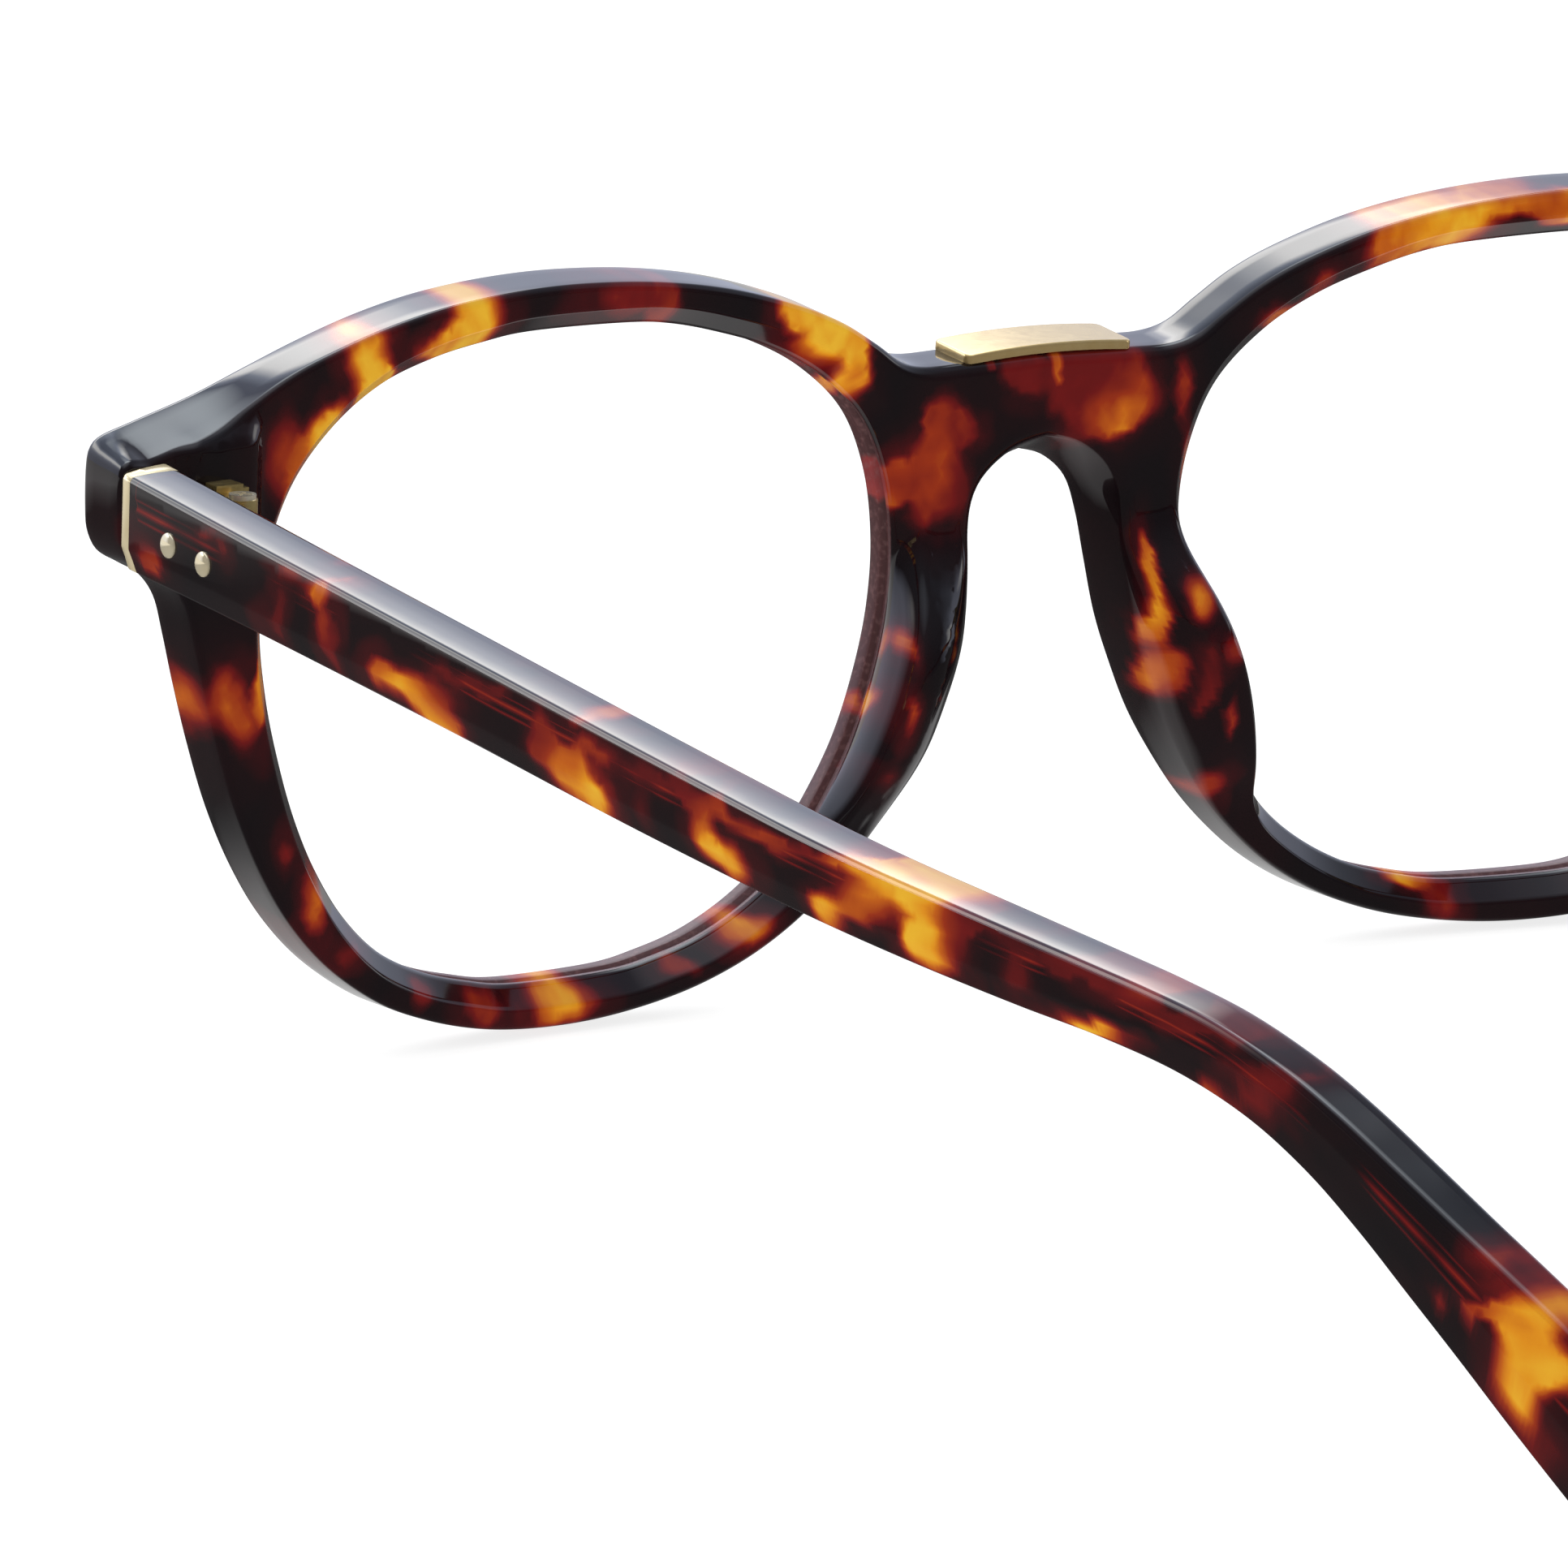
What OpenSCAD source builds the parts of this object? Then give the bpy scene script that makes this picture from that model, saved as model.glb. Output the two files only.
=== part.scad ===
// Full-rim acetate eyeglasses frame with a gold bridge plate and folding temples.
// +X is the wearer's left, -Y the way the front faces, +Z up. Origin: middle of the bridge,
// on the rear face of the front, at the height of the lens centre line.

/* [Lenses] */
// Boxed width of a lens opening
lens_w = 49; // [44:0.5:54]
// Boxed height of a lens opening
lens_h = 40.8; // [34:0.2:46]
// Distance between the two lens openings
bridge_w = 20.8; // [16:0.2:24]
// Depth of the groove that takes the lens
groove_depth = 0.8; // [0.4:0.1:1.2]
// Width of the groove that takes the lens
groove_width = 0.9; // [0.6:0.1:1.4]

/* [Front] */
// Thickness of the front, front to back
front_t = 4.4; // [3:0.1:6]
// Radius of the front's curve, seen from above
base_r = 350; // [200:10:600]
// Height of the nose arch above the centre line
arch_top = 9; // [6:0.5:11]

/* [Nose pads] */
// How far the pads stand behind the rear face
pad_depth = 4.3; // [2:0.1:7]
// Height of a pad
pad_h = 20.6; // [12:0.2:24]

/* [Bridge plate] */
// Length of the plate, side to side
plate_l = 12.2; // [8:0.2:16]
// Depth of the plate, front to back
plate_w = 4.1; // [2:0.1:5]
// Thickness of the plate
plate_t = 0.6; // [0.4:0.1:1.5]
// Radius of the plate's arch
plate_r = 60; // [30:5:120]
// Slope of the plate down to the rear, degrees
plate_tilt = 5; // [0:0.5:8]
// Distance of each pin from the middle
pin_x = 2.4; // [1.5:0.1:4.5]
// Length of a pin under the plate
pin_l = 2.8; // [1.5:0.1:4]

/* [Hinges] */
// Sideways place of the hinge axis
axis_x = 64.6; // [62:0.1:66]
// Place of the hinge axis behind the bridge
axis_y = 9.5; // [8:0.1:11]
// Outer radius of a hinge barrel
barrel_r = 0.95; // [0.8:0.05:1.6]
// Radius of the hinge screw
screw_r = 0.5; // [0.3:0.05:0.7]
// Height of one knuckle
knuckle_h = 1; // [0.8:0.05:1.6]
// Gap between neighbouring knuckles
knuckle_gap = 0.06; // [0.03:0.01:0.15]

/* [Temples] */
// Outer face of a straight temple
temple_x = 72; // [68:0.5:76]
// Thickness of a temple
temple_t = 3.8; // [3:0.1:5]
// Thickness of the gold end plate
cap_t = 1; // [0.5:0.1:1.5]
// Gap between the front and the closed joint
joint_gap = 0.12; // [0.05:0.01:0.3]
// Radius of a rivet's head
rivet_r = 0.8; // [0.5:0.05:1.2]

/* [Hidden] */
tortoise = [0.27, 0.09, 0.04];
tortoise_amber = [0.55, 0.25, 0.06];
gold = [0.83, 0.69, 0.42];
steel_gold = [0.78, 0.68, 0.48];
lens_x = bridge_w / 2 + lens_w / 2;
lens_steps = 4;
outer_steps = 3;

// Lens outline about the lens centre: [towards the temple, up], nominal size 49 x 40.8.
lens_shape = [
    [23.9, 0], [24.5, 4.4], [24, 8.8], [22.2, 12.9], [19.1, 16.1], [15.4, 18.3], [11.3, 19.5],
    [7.4, 20.1], [3.6, 20.4], [-3.6, 20.2], [-7.2, 19.8], [-10.9, 18.9], [-14.8, 17.6],
    [-18.6, 15.6], [-21.9, 12.6], [-23.7, 8.7], [-24.4, 4.3], [-24.2, 0], [-23.3, -4.1],
    [-21.9, -8], [-19.9, -11.5], [-17.5, -14.7], [-14.5, -17.1], [-10.9, -18.9], [-7.2, -19.9],
    [-3.6, -20.4], [3.6, -20.4], [7.3, -19.8], [10.9, -18.8], [14.4, -17.1], [17.3, -14.5],
    [19.6, -11.3], [21.4, -7.8], [22.8, -4]];

// Left half of the front's outline, from the nose arch down round the rim and up to the bridge.
front_shape = [
    [0, arch_top], [2, arch_top - 0.6], [3.7, arch_top - 2.1], [4.6, 4.6], [5.3, 1.7], [6.2, -1.9],
    [7.4, -5.1], [8.8, -8.2], [10.6, -11.1], [12.6, -13.8], [14.8, -16.1], [17.2, -18.1],
    [20, -19.8], [23, -21.1], [26.4, -22.1], [30.5, -22.8], [34.5, -23.1], [38.7, -23],
    [42.5, -22.5], [46.3, -21.5], [50, -20], [54, -17.4], [57.2, -14.3], [59.7, -10.8],
    [61.7, -7], [63.3, -2.9], [64.6, 1.1], [65.5, 4.2], [66.3, 6.6], [67.6, 8.2], [69.4, 9.2],
    [71, 10.1], [71.8, 11.4], [72, 13], [72, 15.4], [71.7, 16.6], [70.7, 17.3], [68.1, 17.9],
    [63.6, 18.9], [59.4, 20.1], [55.3, 21.3], [50.9, 22.4], [46.2, 23.2], [41, 23.6],
    [35.5, 23.6], [29.4, 23.1], [23.8, 22.1], [18.8, 20.6], [15.5, 19.2], [12.9, 17.6],
    [10.9, 16.3], [8.9, 15.8], [6.3, 15.8], [3, 15.9], [0, 16]];

// Temple seen from the side: [back, up], top edge then bottom edge, from the butt to the tip.
temple_top = [
    [8.5, 15.8], [24, 14.2], [44, 12.2], [64, 10.2], [84, 8.3], [100, 6.8], [110, 5.9], [116, 5.3],
    [122, 4.4], [128, 2.8], [133, 0.9], [138, -1.4], [143, -3.8], [148, -6.2], [153, -8.7],
    [157.6, -11.5], [161.2, -14.8], [163.2, -18], [163.4, -20.8]];
temple_bottom = [
    [161.8, -23], [159.2, -23.3], [156, -21.4], [151.2, -18], [147, -15], [142.6, -11.8],
    [138.3, -8.8], [134.1, -5.9], [129.6, -3.2], [124.5, -1], [118.5, 0.5], [111.6, 1.3],
    [104.3, 1.7], [97, 2.2], [89.6, 2.8], [65.6, 4.7], [44.3, 6.7], [22, 8.6], [8.5, 9.6]];

// Catmull-Rom point between b and c.
function cr(a, b, c, d, t) = 0.5 * ((2 * b) + (c - a) * t + (2 * a - 5 * b + 4 * c - d) * t * t
    + (3 * b - a - 3 * c + d) * t * t * t);
function smooth_loop(p, n) = let (m = len(p))
    [for (i = [0:m - 1], k = [0:n - 1])
        cr(p[(i + m - 1) % m], p[i], p[(i + 1) % m], p[(i + 2) % m], k / n)];
function smooth_line(p, n) = let (m = len(p))
    [for (i = [0:m - 2], k = [0:(i == m - 2 ? n : n - 1)])
        cr(p[max(i - 1, 0)], p[i], p[i + 1], p[min(i + 2, m - 1)], k / n)];
// Loop moved outwards by d along its own normals (counter-clockwise loops).
function grow(p, d) = let (m = len(p))
    [for (i = [0:m - 1])
        let (a = p[(i + m - 1) % m], b = p[(i + 1) % m], v = b - a, l = norm(v))
        p[i] + d * [v[1], -v[0]] / l];
function lens_loop() = smooth_loop(
    [for (q = lens_shape) [q[0] * lens_w / 49, q[1] * lens_h / 40.8]], lens_steps);
function flip(p) = [for (i = [len(p) - 1:-1:0]) [-p[i][0], p[i][1]]];
function half_front() = smooth_line(front_shape, outer_steps);
function front_loop() = let (h = half_front(), n = len(h))
    concat(h, [for (i = [n - 2:-1:1]) [-h[i][0], h[i][1]]]);
// How far the temple has moved towards the head at distance y, and how its thickness thins.
function inward(y) = y < 80 ? 0 : y < 94 ? (y - 80) * (y - 80) / 280
    : 0.7 + (y - 94) * 0.1 + pow(max(y - 112, 0), 2) / 800;
function thick(y) = y < 100 ? temple_t : temple_t - (y - 100) * 0.008;
function rear_y(x) = base_r - sqrt(base_r * base_r - x * x);

// A flat outline in [x, z], pushed through the whole depth of the front.
module through(p) {
    translate([0, 16, 0]) rotate([90, 0, 0]) linear_extrude(32) polygon(p);
}

// Curved sheet behind depth a and in front of depth b, both measured from the rear face.
module sheet(a, b) {
    translate([0, base_r, -30]) difference() {
        cylinder(h = 60, r = base_r - a, $fn = 720);
        translate([0, 0, -1]) cylinder(h = 62, r = base_r - b, $fn = 720);
    }
}

module for_side(s) {
    if (s > 0) children();
    else mirror([1, 0, 0]) children();
}

module lens_opening() {
    translate([lens_x, 0, 0]) through(lens_loop());
    intersection() {
        translate([lens_x, 0, 0]) through(grow(lens_loop(), groove_depth));
        sheet(-front_t + 1.5, -front_t + 1.5 + groove_width);
    }
}

// The nose arch opens wider towards the rear.
flare = 21;
flare_shape = [[0, arch_top], [2, arch_top - 0.6], [3.7, arch_top - 2.1], [4.4, 4.6], [4.5, 1.7],
    [4.9, -1.9], [5.7, -5.1], [5.7, -12]];
module arch_flare(s) {
    h = [for (q = smooth_line(flare_shape, 2)) [q[0] * cos(flare), q[1]]];
    for_side(s) translate([0, -front_t, 0]) rotate([0, 0, -flare])
        through(concat(h, [for (i = [len(h) - 1:-1:1]) [-h[i][0], h[i][1]]]));
}

// Rounded plan outline of the bridge plate.
function round_rect(l, w, r) = [for (q = [[1, 1, 0], [-1, 1, 90], [-1, -1, 180], [1, -1, 270]],
    a = [0:15:90]) [q[0] * (l / 2 - r) + r * cos(q[2] + a), q[1] * (w / 2 - r) + r * sin(q[2] + a)]];
plate_y = -front_t / 2;
plate_z = 16.5;

module plate_place() {
    translate([0, plate_y, plate_z]) rotate([-plate_tilt, 0, 0]) children();
}

module plate_body(t) {
    intersection() {
        translate([0, 0, -4]) linear_extrude(8) polygon(round_rect(plate_l, plate_w, 0.5));
        translate([0, 10, -plate_r]) rotate([90, 0, 0]) difference() {
            cylinder(h = 20, r = plate_r, $fn = 720);
            translate([0, 0, -1]) cylinder(h = 22, r = plate_r - t, $fn = 720);
        }
    }
}

module pin_hole(s) {
    plate_place() translate([s * pin_x, 0, -plate_t - pin_l]) cylinder(h = pin_l + 0.5, r = 0.5, $fn = 48);
}

// Pocket and root of the front hinge leaf, buried in the endpiece.
leaf_z0 = 8.65;
leaf_h = 5 * knuckle_h + 4 * knuckle_gap;
module leaf_root() {
    translate([axis_x - 2.2, 4.3, leaf_z0]) cube([4.2, 2.4, leaf_h]);
}

module front_frame() {
    color(tortoise) difference() {
        intersection() {
            through(front_loop());
            sheet(-front_t, 0);
        }
        for (s = [1, -1]) for_side(s) {
            lens_opening();
            leaf_root();
            arch_flare(s);
        }
        plate_place() {
            plate_body(plate_t);
            translate([-plate_l / 2, -6, -0.4]) cube([plate_l, 12, 3]);
        }
        for (s = [1, -1]) pin_hole(s);
    }
}

// Nose pad: rings from the bottom up; each ring runs from the nose side over the crest to the
// lens side. [height, nose side, crest sideways, crest back, lens side]
pad_rings = [
    [-1, 13, 15.4, -0.2, 16.1], [-0.89, 11.9, 15, 1.1, 15.8], [-0.7, 10.4, 14.1, 2.5, 15.2],
    [-0.46, 8.9, 13.2, 3.6, 14.5], [-0.165, 7.6, 12.2, 4.3, 13.6], [0.08, 6.7, 11.4, 4.2, 12.8],
    [0.27, 6.2, 10.7, 3.5, 12], [0.42, 5.9, 10, 2.5, 11.3], [0.56, 5.9, 9.4, 1.5, 10.8],
    [0.73, 6.3, 8.8, 0.6, 10.4], [0.87, 6.9, 8.5, 0, 10.1], [1, 7.4, 8.4, -0.6, 9.7]];
pad_mid = -3.3;
pad_n = 16;
function pad_ring(q) = let (z = pad_mid + q[0] * pad_h / 2, k = pad_depth / 4.3, y0 = -1)
    [for (i = [0:pad_n]) let (a = 180 - 180 * i / pad_n, c = cos(a), s = sin(a),
        mid = (q[1] + q[4]) / 2, half = (q[4] - q[1]) / 2,
        lean = q[2] - mid, top = max(q[3] * k - y0, 0.2))
        [mid + half * c + lean * s * s, y0 + top * pow(max(s, 0), 0.8), z]];

module pad_shell() {
    rings = [for (q = pad_rings) pad_ring(q)];
    m = len(rings);
    w = pad_n + 1;
    polyhedron(
        points = [for (r = rings, p = r) p],
        faces = concat(
            [[for (i = [0:w - 1]) i]],
            [[for (i = [w - 1:-1:0]) (m - 1) * w + i]],
            [for (j = [0:m - 2], i = [0:w - 1], k = [0, 1])
                let (a = j * w + i, b = j * w + (i + 1) % w, c = a + w, d = b + w)
                k == 0 ? [a, c, b] : [b, c, d]]),
        convexity = 4);
}

module nose_pad(s) {
    color(tortoise_amber) for_side(s) intersection() {
        pad_shell();
        translate([0, base_r, -30]) cylinder(h = 60, r = base_r, $fn = 720);
    }
}

module bridge_plate() {
    color(gold) plate_place() plate_body(plate_t);
}

module bridge_pin(s) {
    color(gold) plate_place() translate([s * pin_x, 0, 0]) difference() {
        translate([0, 0, -plate_t - pin_l]) {
            cylinder(h = pin_l + 0.3, r = 0.38, $fn = 48);
            for (k = [0:3]) translate([0, 0, 0.3 + k * 0.6]) cylinder(h = 0.3, r = 0.5, $fn = 48);
        }
        translate([-s * pin_x, 10, -plate_r]) rotate([90, 0, 0]) difference() {
            cylinder(h = 20, r = plate_r + 3, $fn = 720);
            translate([0, 0, -1]) cylinder(h = 22, r = plate_r - plate_t, $fn = 720);
        }
    }
}

function knuckle_z(i) = leaf_z0 + i * (knuckle_h + knuckle_gap);

module barrel(i) {
    translate([axis_x, axis_y, knuckle_z(i)]) cylinder(h = knuckle_h, r = barrel_r, $fn = 64);
}

module screw_bore() {
    translate([axis_x, axis_y, leaf_z0 - 1]) cylinder(h = leaf_h + 2, r = screw_r + 0.03, $fn = 48);
}

module hinge_front(s) {
    color(steel_gold) for_side(s) difference() {
        union() {
            leaf_root();
            translate([axis_x - barrel_r, 6.5, leaf_z0]) cube([2 * barrel_r, 1.55, leaf_h + 0.55]);
            for (i = [0, 2, 4]) {
                barrel(i);
                translate([axis_x - barrel_r, 7.5, knuckle_z(i)])
                    cube([2 * barrel_r, axis_y - 7.5, knuckle_h]);
            }
        }
        screw_bore();
    }
}

// Temple leaf: plate let into the inner face, with a lug to its two knuckles.
slope = 5.7;
leaf_y0 = 8.7;
leaf_len = 12;
leaf_x0 = temple_x - temple_t - 0.6;
leaf_pt = 1.3;
module temple_leaf_plate() {
    translate([leaf_x0, 0, 12.4]) rotate([-slope, 0, 0])
        translate([0, leaf_y0 - 1.2, -1.9]) cube([leaf_pt, leaf_len, 3.8]);
}

module hinge_temple(s) {
    color(steel_gold) for_side(s) difference() {
        union() {
            intersection() {
                temple_leaf_plate();
                translate([60, leaf_y0, 0]) cube([20, 30, 30]);
            }
            translate([axis_x + barrel_r + 0.15, leaf_y0, knuckle_z(1)])
                cube([leaf_x0 + leaf_pt - axis_x - barrel_r - 0.15, 2, 3 * knuckle_h + 2 * knuckle_gap]);
            for (i = [1, 3]) {
                barrel(i);
                translate([axis_x, leaf_y0, knuckle_z(i)])
                    cube([leaf_x0 + leaf_pt - axis_x, axis_y + barrel_r - leaf_y0, knuckle_h]);
            }
        }
        screw_bore();
        for (k = [0, 1]) rivet_hole(k);
    }
}

module hinge_screw(s) {
    color(gold) for_side(s) translate([axis_x, axis_y, 0]) difference() {
        union() {
            translate([0, 0, leaf_z0 - 0.2]) cylinder(h = leaf_h + 0.3, r = screw_r, $fn = 48);
            translate([0, 0, leaf_z0 + leaf_h]) cylinder(h = 0.3, r = 0.85, $fn = 48);
        }
        for (a = [45, 135]) rotate(a) translate([-0.6, -0.11, leaf_z0 + leaf_h + 0.12])
            cube([1.2, 0.22, 1]);
    }
}

// Rivets sit on the temple's middle line.
function rivet_pos(k) = [temple_x, 13.1 + 4 * k, 12.3 - 0.4 * k];
module rivet_hole(k) {
    translate([temple_x - 6, rivet_pos(k)[1], rivet_pos(k)[2]]) rotate([0, 90, 0])
        cylinder(h = 12, r = 0.45, $fn = 48);
}

module rivet(s, k) {
    color(gold) for_side(s) translate(rivet_pos(k)) rotate([0, 90, 0]) {
        translate([0, 0, -temple_t - 0.6]) cylinder(h = temple_t + 0.7, r = 0.45, $fn = 48);
        intersection() {
            cylinder(h = 1, r = rivet_r, $fn = 48);
            translate([0, 0, -0.75]) sphere(r = 1.1, $fn = 96);
        }
    }
}

function temple_side() = concat(smooth_line(temple_top, 3), smooth_line(temple_bottom, 3));
ys = concat([8.5], [for (y = [20:20:80]) y], [for (y = [84:4:164]) y]);
function temple_plan() = concat(
    [for (y = ys) [temple_x - inward(y), y]],
    [for (i = [len(ys) - 1:-1:0]) [temple_x - inward(ys[i]) - thick(ys[i]), ys[i]]]);

module temple_arm(s) {
    color(tortoise) for_side(s) difference() {
        intersection() {
            translate([50, 0, 0]) rotate([90, 0, 90]) linear_extrude(30) polygon(temple_side());
            translate([0, 0, -40]) linear_extrude(70) polygon(temple_plan());
        }
        intersection() {
            temple_leaf_plate();
            translate([60, leaf_y0, 0]) cube([20, 30, 30]);
        }
        translate([66, 8, knuckle_z(1)])
            cube([leaf_x0 + leaf_pt - 66, axis_y + barrel_r - 8, 3 * knuckle_h + 2 * knuckle_gap]);
        for (k = [0, 1]) rivet_hole(k);
    }
}

// Gold end plate of the temple, cut to stand just clear of the curved rear face.
module temple_cap(s) {
    xi = temple_x - temple_t;
    color(gold) for_side(s) intersection() {
        translate([xi - 1, 0, 0]) rotate([90, 0, 90]) linear_extrude(temple_t + 2)
            polygon([[6, 9.85], [8.5, 9.6], [8.5, 15.8], [6, 16.05]]);
        linear_extrude(30) polygon([[xi, rear_y(xi) + joint_gap],
            [temple_x, rear_y(temple_x) + joint_gap], [temple_x, 7.5 + cap_t], [xi, 7.5 + cap_t]]);
    }
}

front_frame();
nose_pad(1);  // nose_pad_left
nose_pad(-1);  // nose_pad_right
bridge_plate();
bridge_pin(1);  // bridge_pin_left
bridge_pin(-1);  // bridge_pin_right
hinge_front(1);  // hinge_front_left
hinge_front(-1);  // hinge_front_right
hinge_temple(1);  // hinge_temple_left
hinge_temple(-1);  // hinge_temple_right
hinge_screw(1);  // hinge_screw_left
hinge_screw(-1);  // hinge_screw_right
temple_arm(1);  // temple_arm_left
temple_arm(-1);  // temple_arm_right
temple_cap(1);  // temple_cap_left
temple_cap(-1);  // temple_cap_right
rivet(1, 0);  // rivet_left_1
rivet(1, 1);  // rivet_left_2
rivet(-1, 0);  // rivet_right_1
rivet(-1, 1);  // rivet_right_2
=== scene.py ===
"""Looks for a full-rim acetate eyeglasses frame. Lengths here are in millimetres until a mesh is made."""
import math
import random

import bmesh
import bpy
import numpy as np
from mathutils import Matrix, Vector, kdtree, noise
from mathutils.geometry import delaunay_2d_cdt


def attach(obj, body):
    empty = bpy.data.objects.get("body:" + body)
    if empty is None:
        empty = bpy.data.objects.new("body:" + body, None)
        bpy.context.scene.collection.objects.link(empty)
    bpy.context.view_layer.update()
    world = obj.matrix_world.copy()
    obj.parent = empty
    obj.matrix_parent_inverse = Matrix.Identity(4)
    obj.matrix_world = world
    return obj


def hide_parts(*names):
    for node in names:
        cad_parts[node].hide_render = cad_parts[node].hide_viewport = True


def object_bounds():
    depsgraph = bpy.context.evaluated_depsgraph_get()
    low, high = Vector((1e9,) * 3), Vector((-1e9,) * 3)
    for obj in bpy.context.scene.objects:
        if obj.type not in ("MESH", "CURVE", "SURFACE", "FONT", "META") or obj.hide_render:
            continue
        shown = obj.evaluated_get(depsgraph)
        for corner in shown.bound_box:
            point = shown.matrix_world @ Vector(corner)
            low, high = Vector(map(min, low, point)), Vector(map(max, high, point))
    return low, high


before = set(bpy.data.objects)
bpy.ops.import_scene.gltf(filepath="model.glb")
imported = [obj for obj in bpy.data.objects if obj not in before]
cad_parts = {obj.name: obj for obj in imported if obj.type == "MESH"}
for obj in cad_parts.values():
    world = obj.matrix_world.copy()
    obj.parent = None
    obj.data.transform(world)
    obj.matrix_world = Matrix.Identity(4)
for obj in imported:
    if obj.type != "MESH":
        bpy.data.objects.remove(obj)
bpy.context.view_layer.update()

MM = 0.001
FRONT_T = 4.4  # thickness of the front
BASE_R = 350.0  # radius of the front's curve, seen from above
LENS_X = 34.9  # middle of a lens opening
TEMPLE_X = 72.0  # outer face of the arms
TEMPLE_T = 3.8  # thickness of the arms
BUTT_Y = 8.5  # where an arm meets its end plate
GRID = 0.5  # between the points inside a face
NOSE_GRID = 0.22  # the same, over the nose pads
OUTLINE_STEP = 0.4  # between the points of the front's outlines
ARM_STEP = 0.45  # between the points of an arm's outline
FRONT_ROUND = 0.55  # round along the edges of the front face
LENS_BEVEL = 1.25  # width of the bevel round a lens opening
BEVEL_FOOT = 1.52  # depth at which the bevel ends
BEVEL_LIP = 0.22  # nearly flat margin outside the bevel
PAD_CREST = 0.8  # share of a pad's width that lies before its crest
RIVETS = ((1, 13.1, 12.3), (2, 17.1, 11.9))  # number, y, z
CLEAR_RED = 0.42  # colour of the clear part of the bridge, on the scale of the pattern
PINS_SEEN = ((-0.45, 13.27, 0.70), (4.32, 14.69, 0.45))  # x, foot z, colour of a pin seen inside
PLATE_ARCH = 60.0  # radius of the bridge plate's curve
PLATE_MIDDLE = 16.5  # its height
PLATE_ROUND = 0.17  # round along its upper edge

LENS_SHAPE = [
    (23.9, 0), (24.5, 4.4), (24, 8.8), (22.2, 12.9), (19.1, 16.1), (15.4, 18.3), (11.3, 19.5),
    (7.4, 20.1), (3.6, 20.4), (-3.6, 20.2), (-7.2, 19.8), (-10.9, 18.9), (-14.8, 17.6),
    (-18.6, 15.6), (-21.9, 12.6), (-23.7, 8.7), (-24.4, 4.3), (-24.2, 0), (-23.3, -4.1),
    (-21.9, -8), (-19.9, -11.5), (-17.5, -14.7), (-14.5, -17.1), (-10.9, -18.9), (-7.2, -19.9),
    (-3.6, -20.4), (3.6, -20.4), (7.3, -19.8), (10.9, -18.8), (14.4, -17.1), (17.3, -14.5),
    (19.6, -11.3), (21.4, -7.8), (22.8, -4)]
FRONT_HALF = [
    (0, 9), (2, 8.4), (3.7, 6.9), (4.6, 4.6), (5.3, 1.7), (6.2, -1.9), (7.4, -5.1), (8.8, -8.2),
    (10.6, -11.1), (12.6, -13.8), (14.8, -16.1), (17.2, -18.1), (20, -19.8), (23, -21.1),
    (26.4, -22.1), (30.5, -22.8), (34.5, -23.1), (38.7, -23), (42.5, -22.5), (46.3, -21.5),
    (50, -20), (54, -17.4), (57.2, -14.3), (59.7, -10.8), (61.7, -7), (63.3, -2.9), (64.6, 1.1),
    (65.5, 4.2), (66.3, 6.6), (67.6, 8.2), (69.4, 9.2), (71, 10.1), (71.8, 11.4), (72, 13),
    (72, 15.4), (71.7, 16.6), (70.7, 17.3), (68.1, 17.9), (63.6, 18.9), (59.4, 20.1),
    (55.3, 21.3), (50.9, 22.4), (46.2, 23.2), (41, 23.6), (35.5, 23.6), (29.4, 23.1),
    (23.8, 22.1), (18.8, 20.6), (15.5, 19.2), (12.9, 17.6), (10.9, 16.3), (8.9, 15.8),
    (6.3, 15.8), (3, 15.9), (0, 16)]
TEMPLE_TOP = [
    (8.5, 15.8), (24, 14.2), (44, 12.2), (64, 10.2), (84, 8.3), (100, 6.8), (110, 5.9),
    (116, 5.3), (122, 4.4), (128, 2.8), (133, 0.9), (138, -1.4), (143, -3.8), (148, -6.2),
    (153, -8.7), (157.6, -11.5), (161.2, -14.8), (163.2, -18), (163.4, -20.8)]
TEMPLE_BOTTOM = [
    (161.8, -23), (159.2, -23.3), (156, -21.4), (151.2, -18), (147, -15), (142.6, -11.8),
    (138.3, -8.8), (134.1, -5.9), (129.6, -3.2), (124.5, -1), (118.5, 0.5), (111.6, 1.3),
    (104.3, 1.7), (97, 2.2), (89.6, 2.8), (65.6, 4.7), (44.3, 6.7), (22, 8.6), (8.5, 9.6)]
# Nose pads, drawn out of the rear of the front. Height, then crest back, crest sideways, lens side.
PAD_FORM = [
    (-15.6, 0, 16.6, 17.0), (-14, .25, 15.8, 16.3), (-12.5, 1.1, 15.0, 15.8), (-10.5, 2.5, 14.1, 15.2),
    (-8, 3.6, 13.2, 14.6), (-5, 4.2, 12.2, 13.7), (-3, 4.15, 11.5, 13.0), (-1, 3.65, 10.8, 12.2),
    (.4, 2.85, 10.2, 11.5), (1.6, 1.9, 9.7, 11.0), (3, .95, 9.0, 10.6), (4.5, .3, 8.4, 10.3),
    (6, 0, 8.0, 10.0)]
NOSE_WALL = [
    (-18.1, 17.2), (-16.1, 14.8), (-13.8, 12.6), (-11.1, 10.6), (-8.2, 8.8), (-5.1, 7.4), (-1.9, 6.2),
    (1.7, 5.3), (4.6, 4.6), (6.9, 3.7)]
LENS_WALL = [
    (-17.1, 20.4), (-14.7, 17.4), (-11.5, 15.0), (-8, 13.0), (-4.1, 11.6), (0, 10.7), (4.3, 10.5),
    (8.7, 11.2)]
FLARE = [(-8, 0), (-5, .2), (-1.4, .3), (2, .5), (4.5, 1.1), (6, 1.9), (9, 1.7)]


# ---------------------------------------------------------------- curves
def smoothstep(a, b, x):
    t = np.clip((np.asarray(x, float) - a) / (b - a), 0, 1)
    return t * t * (3 - 2 * t)


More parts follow.
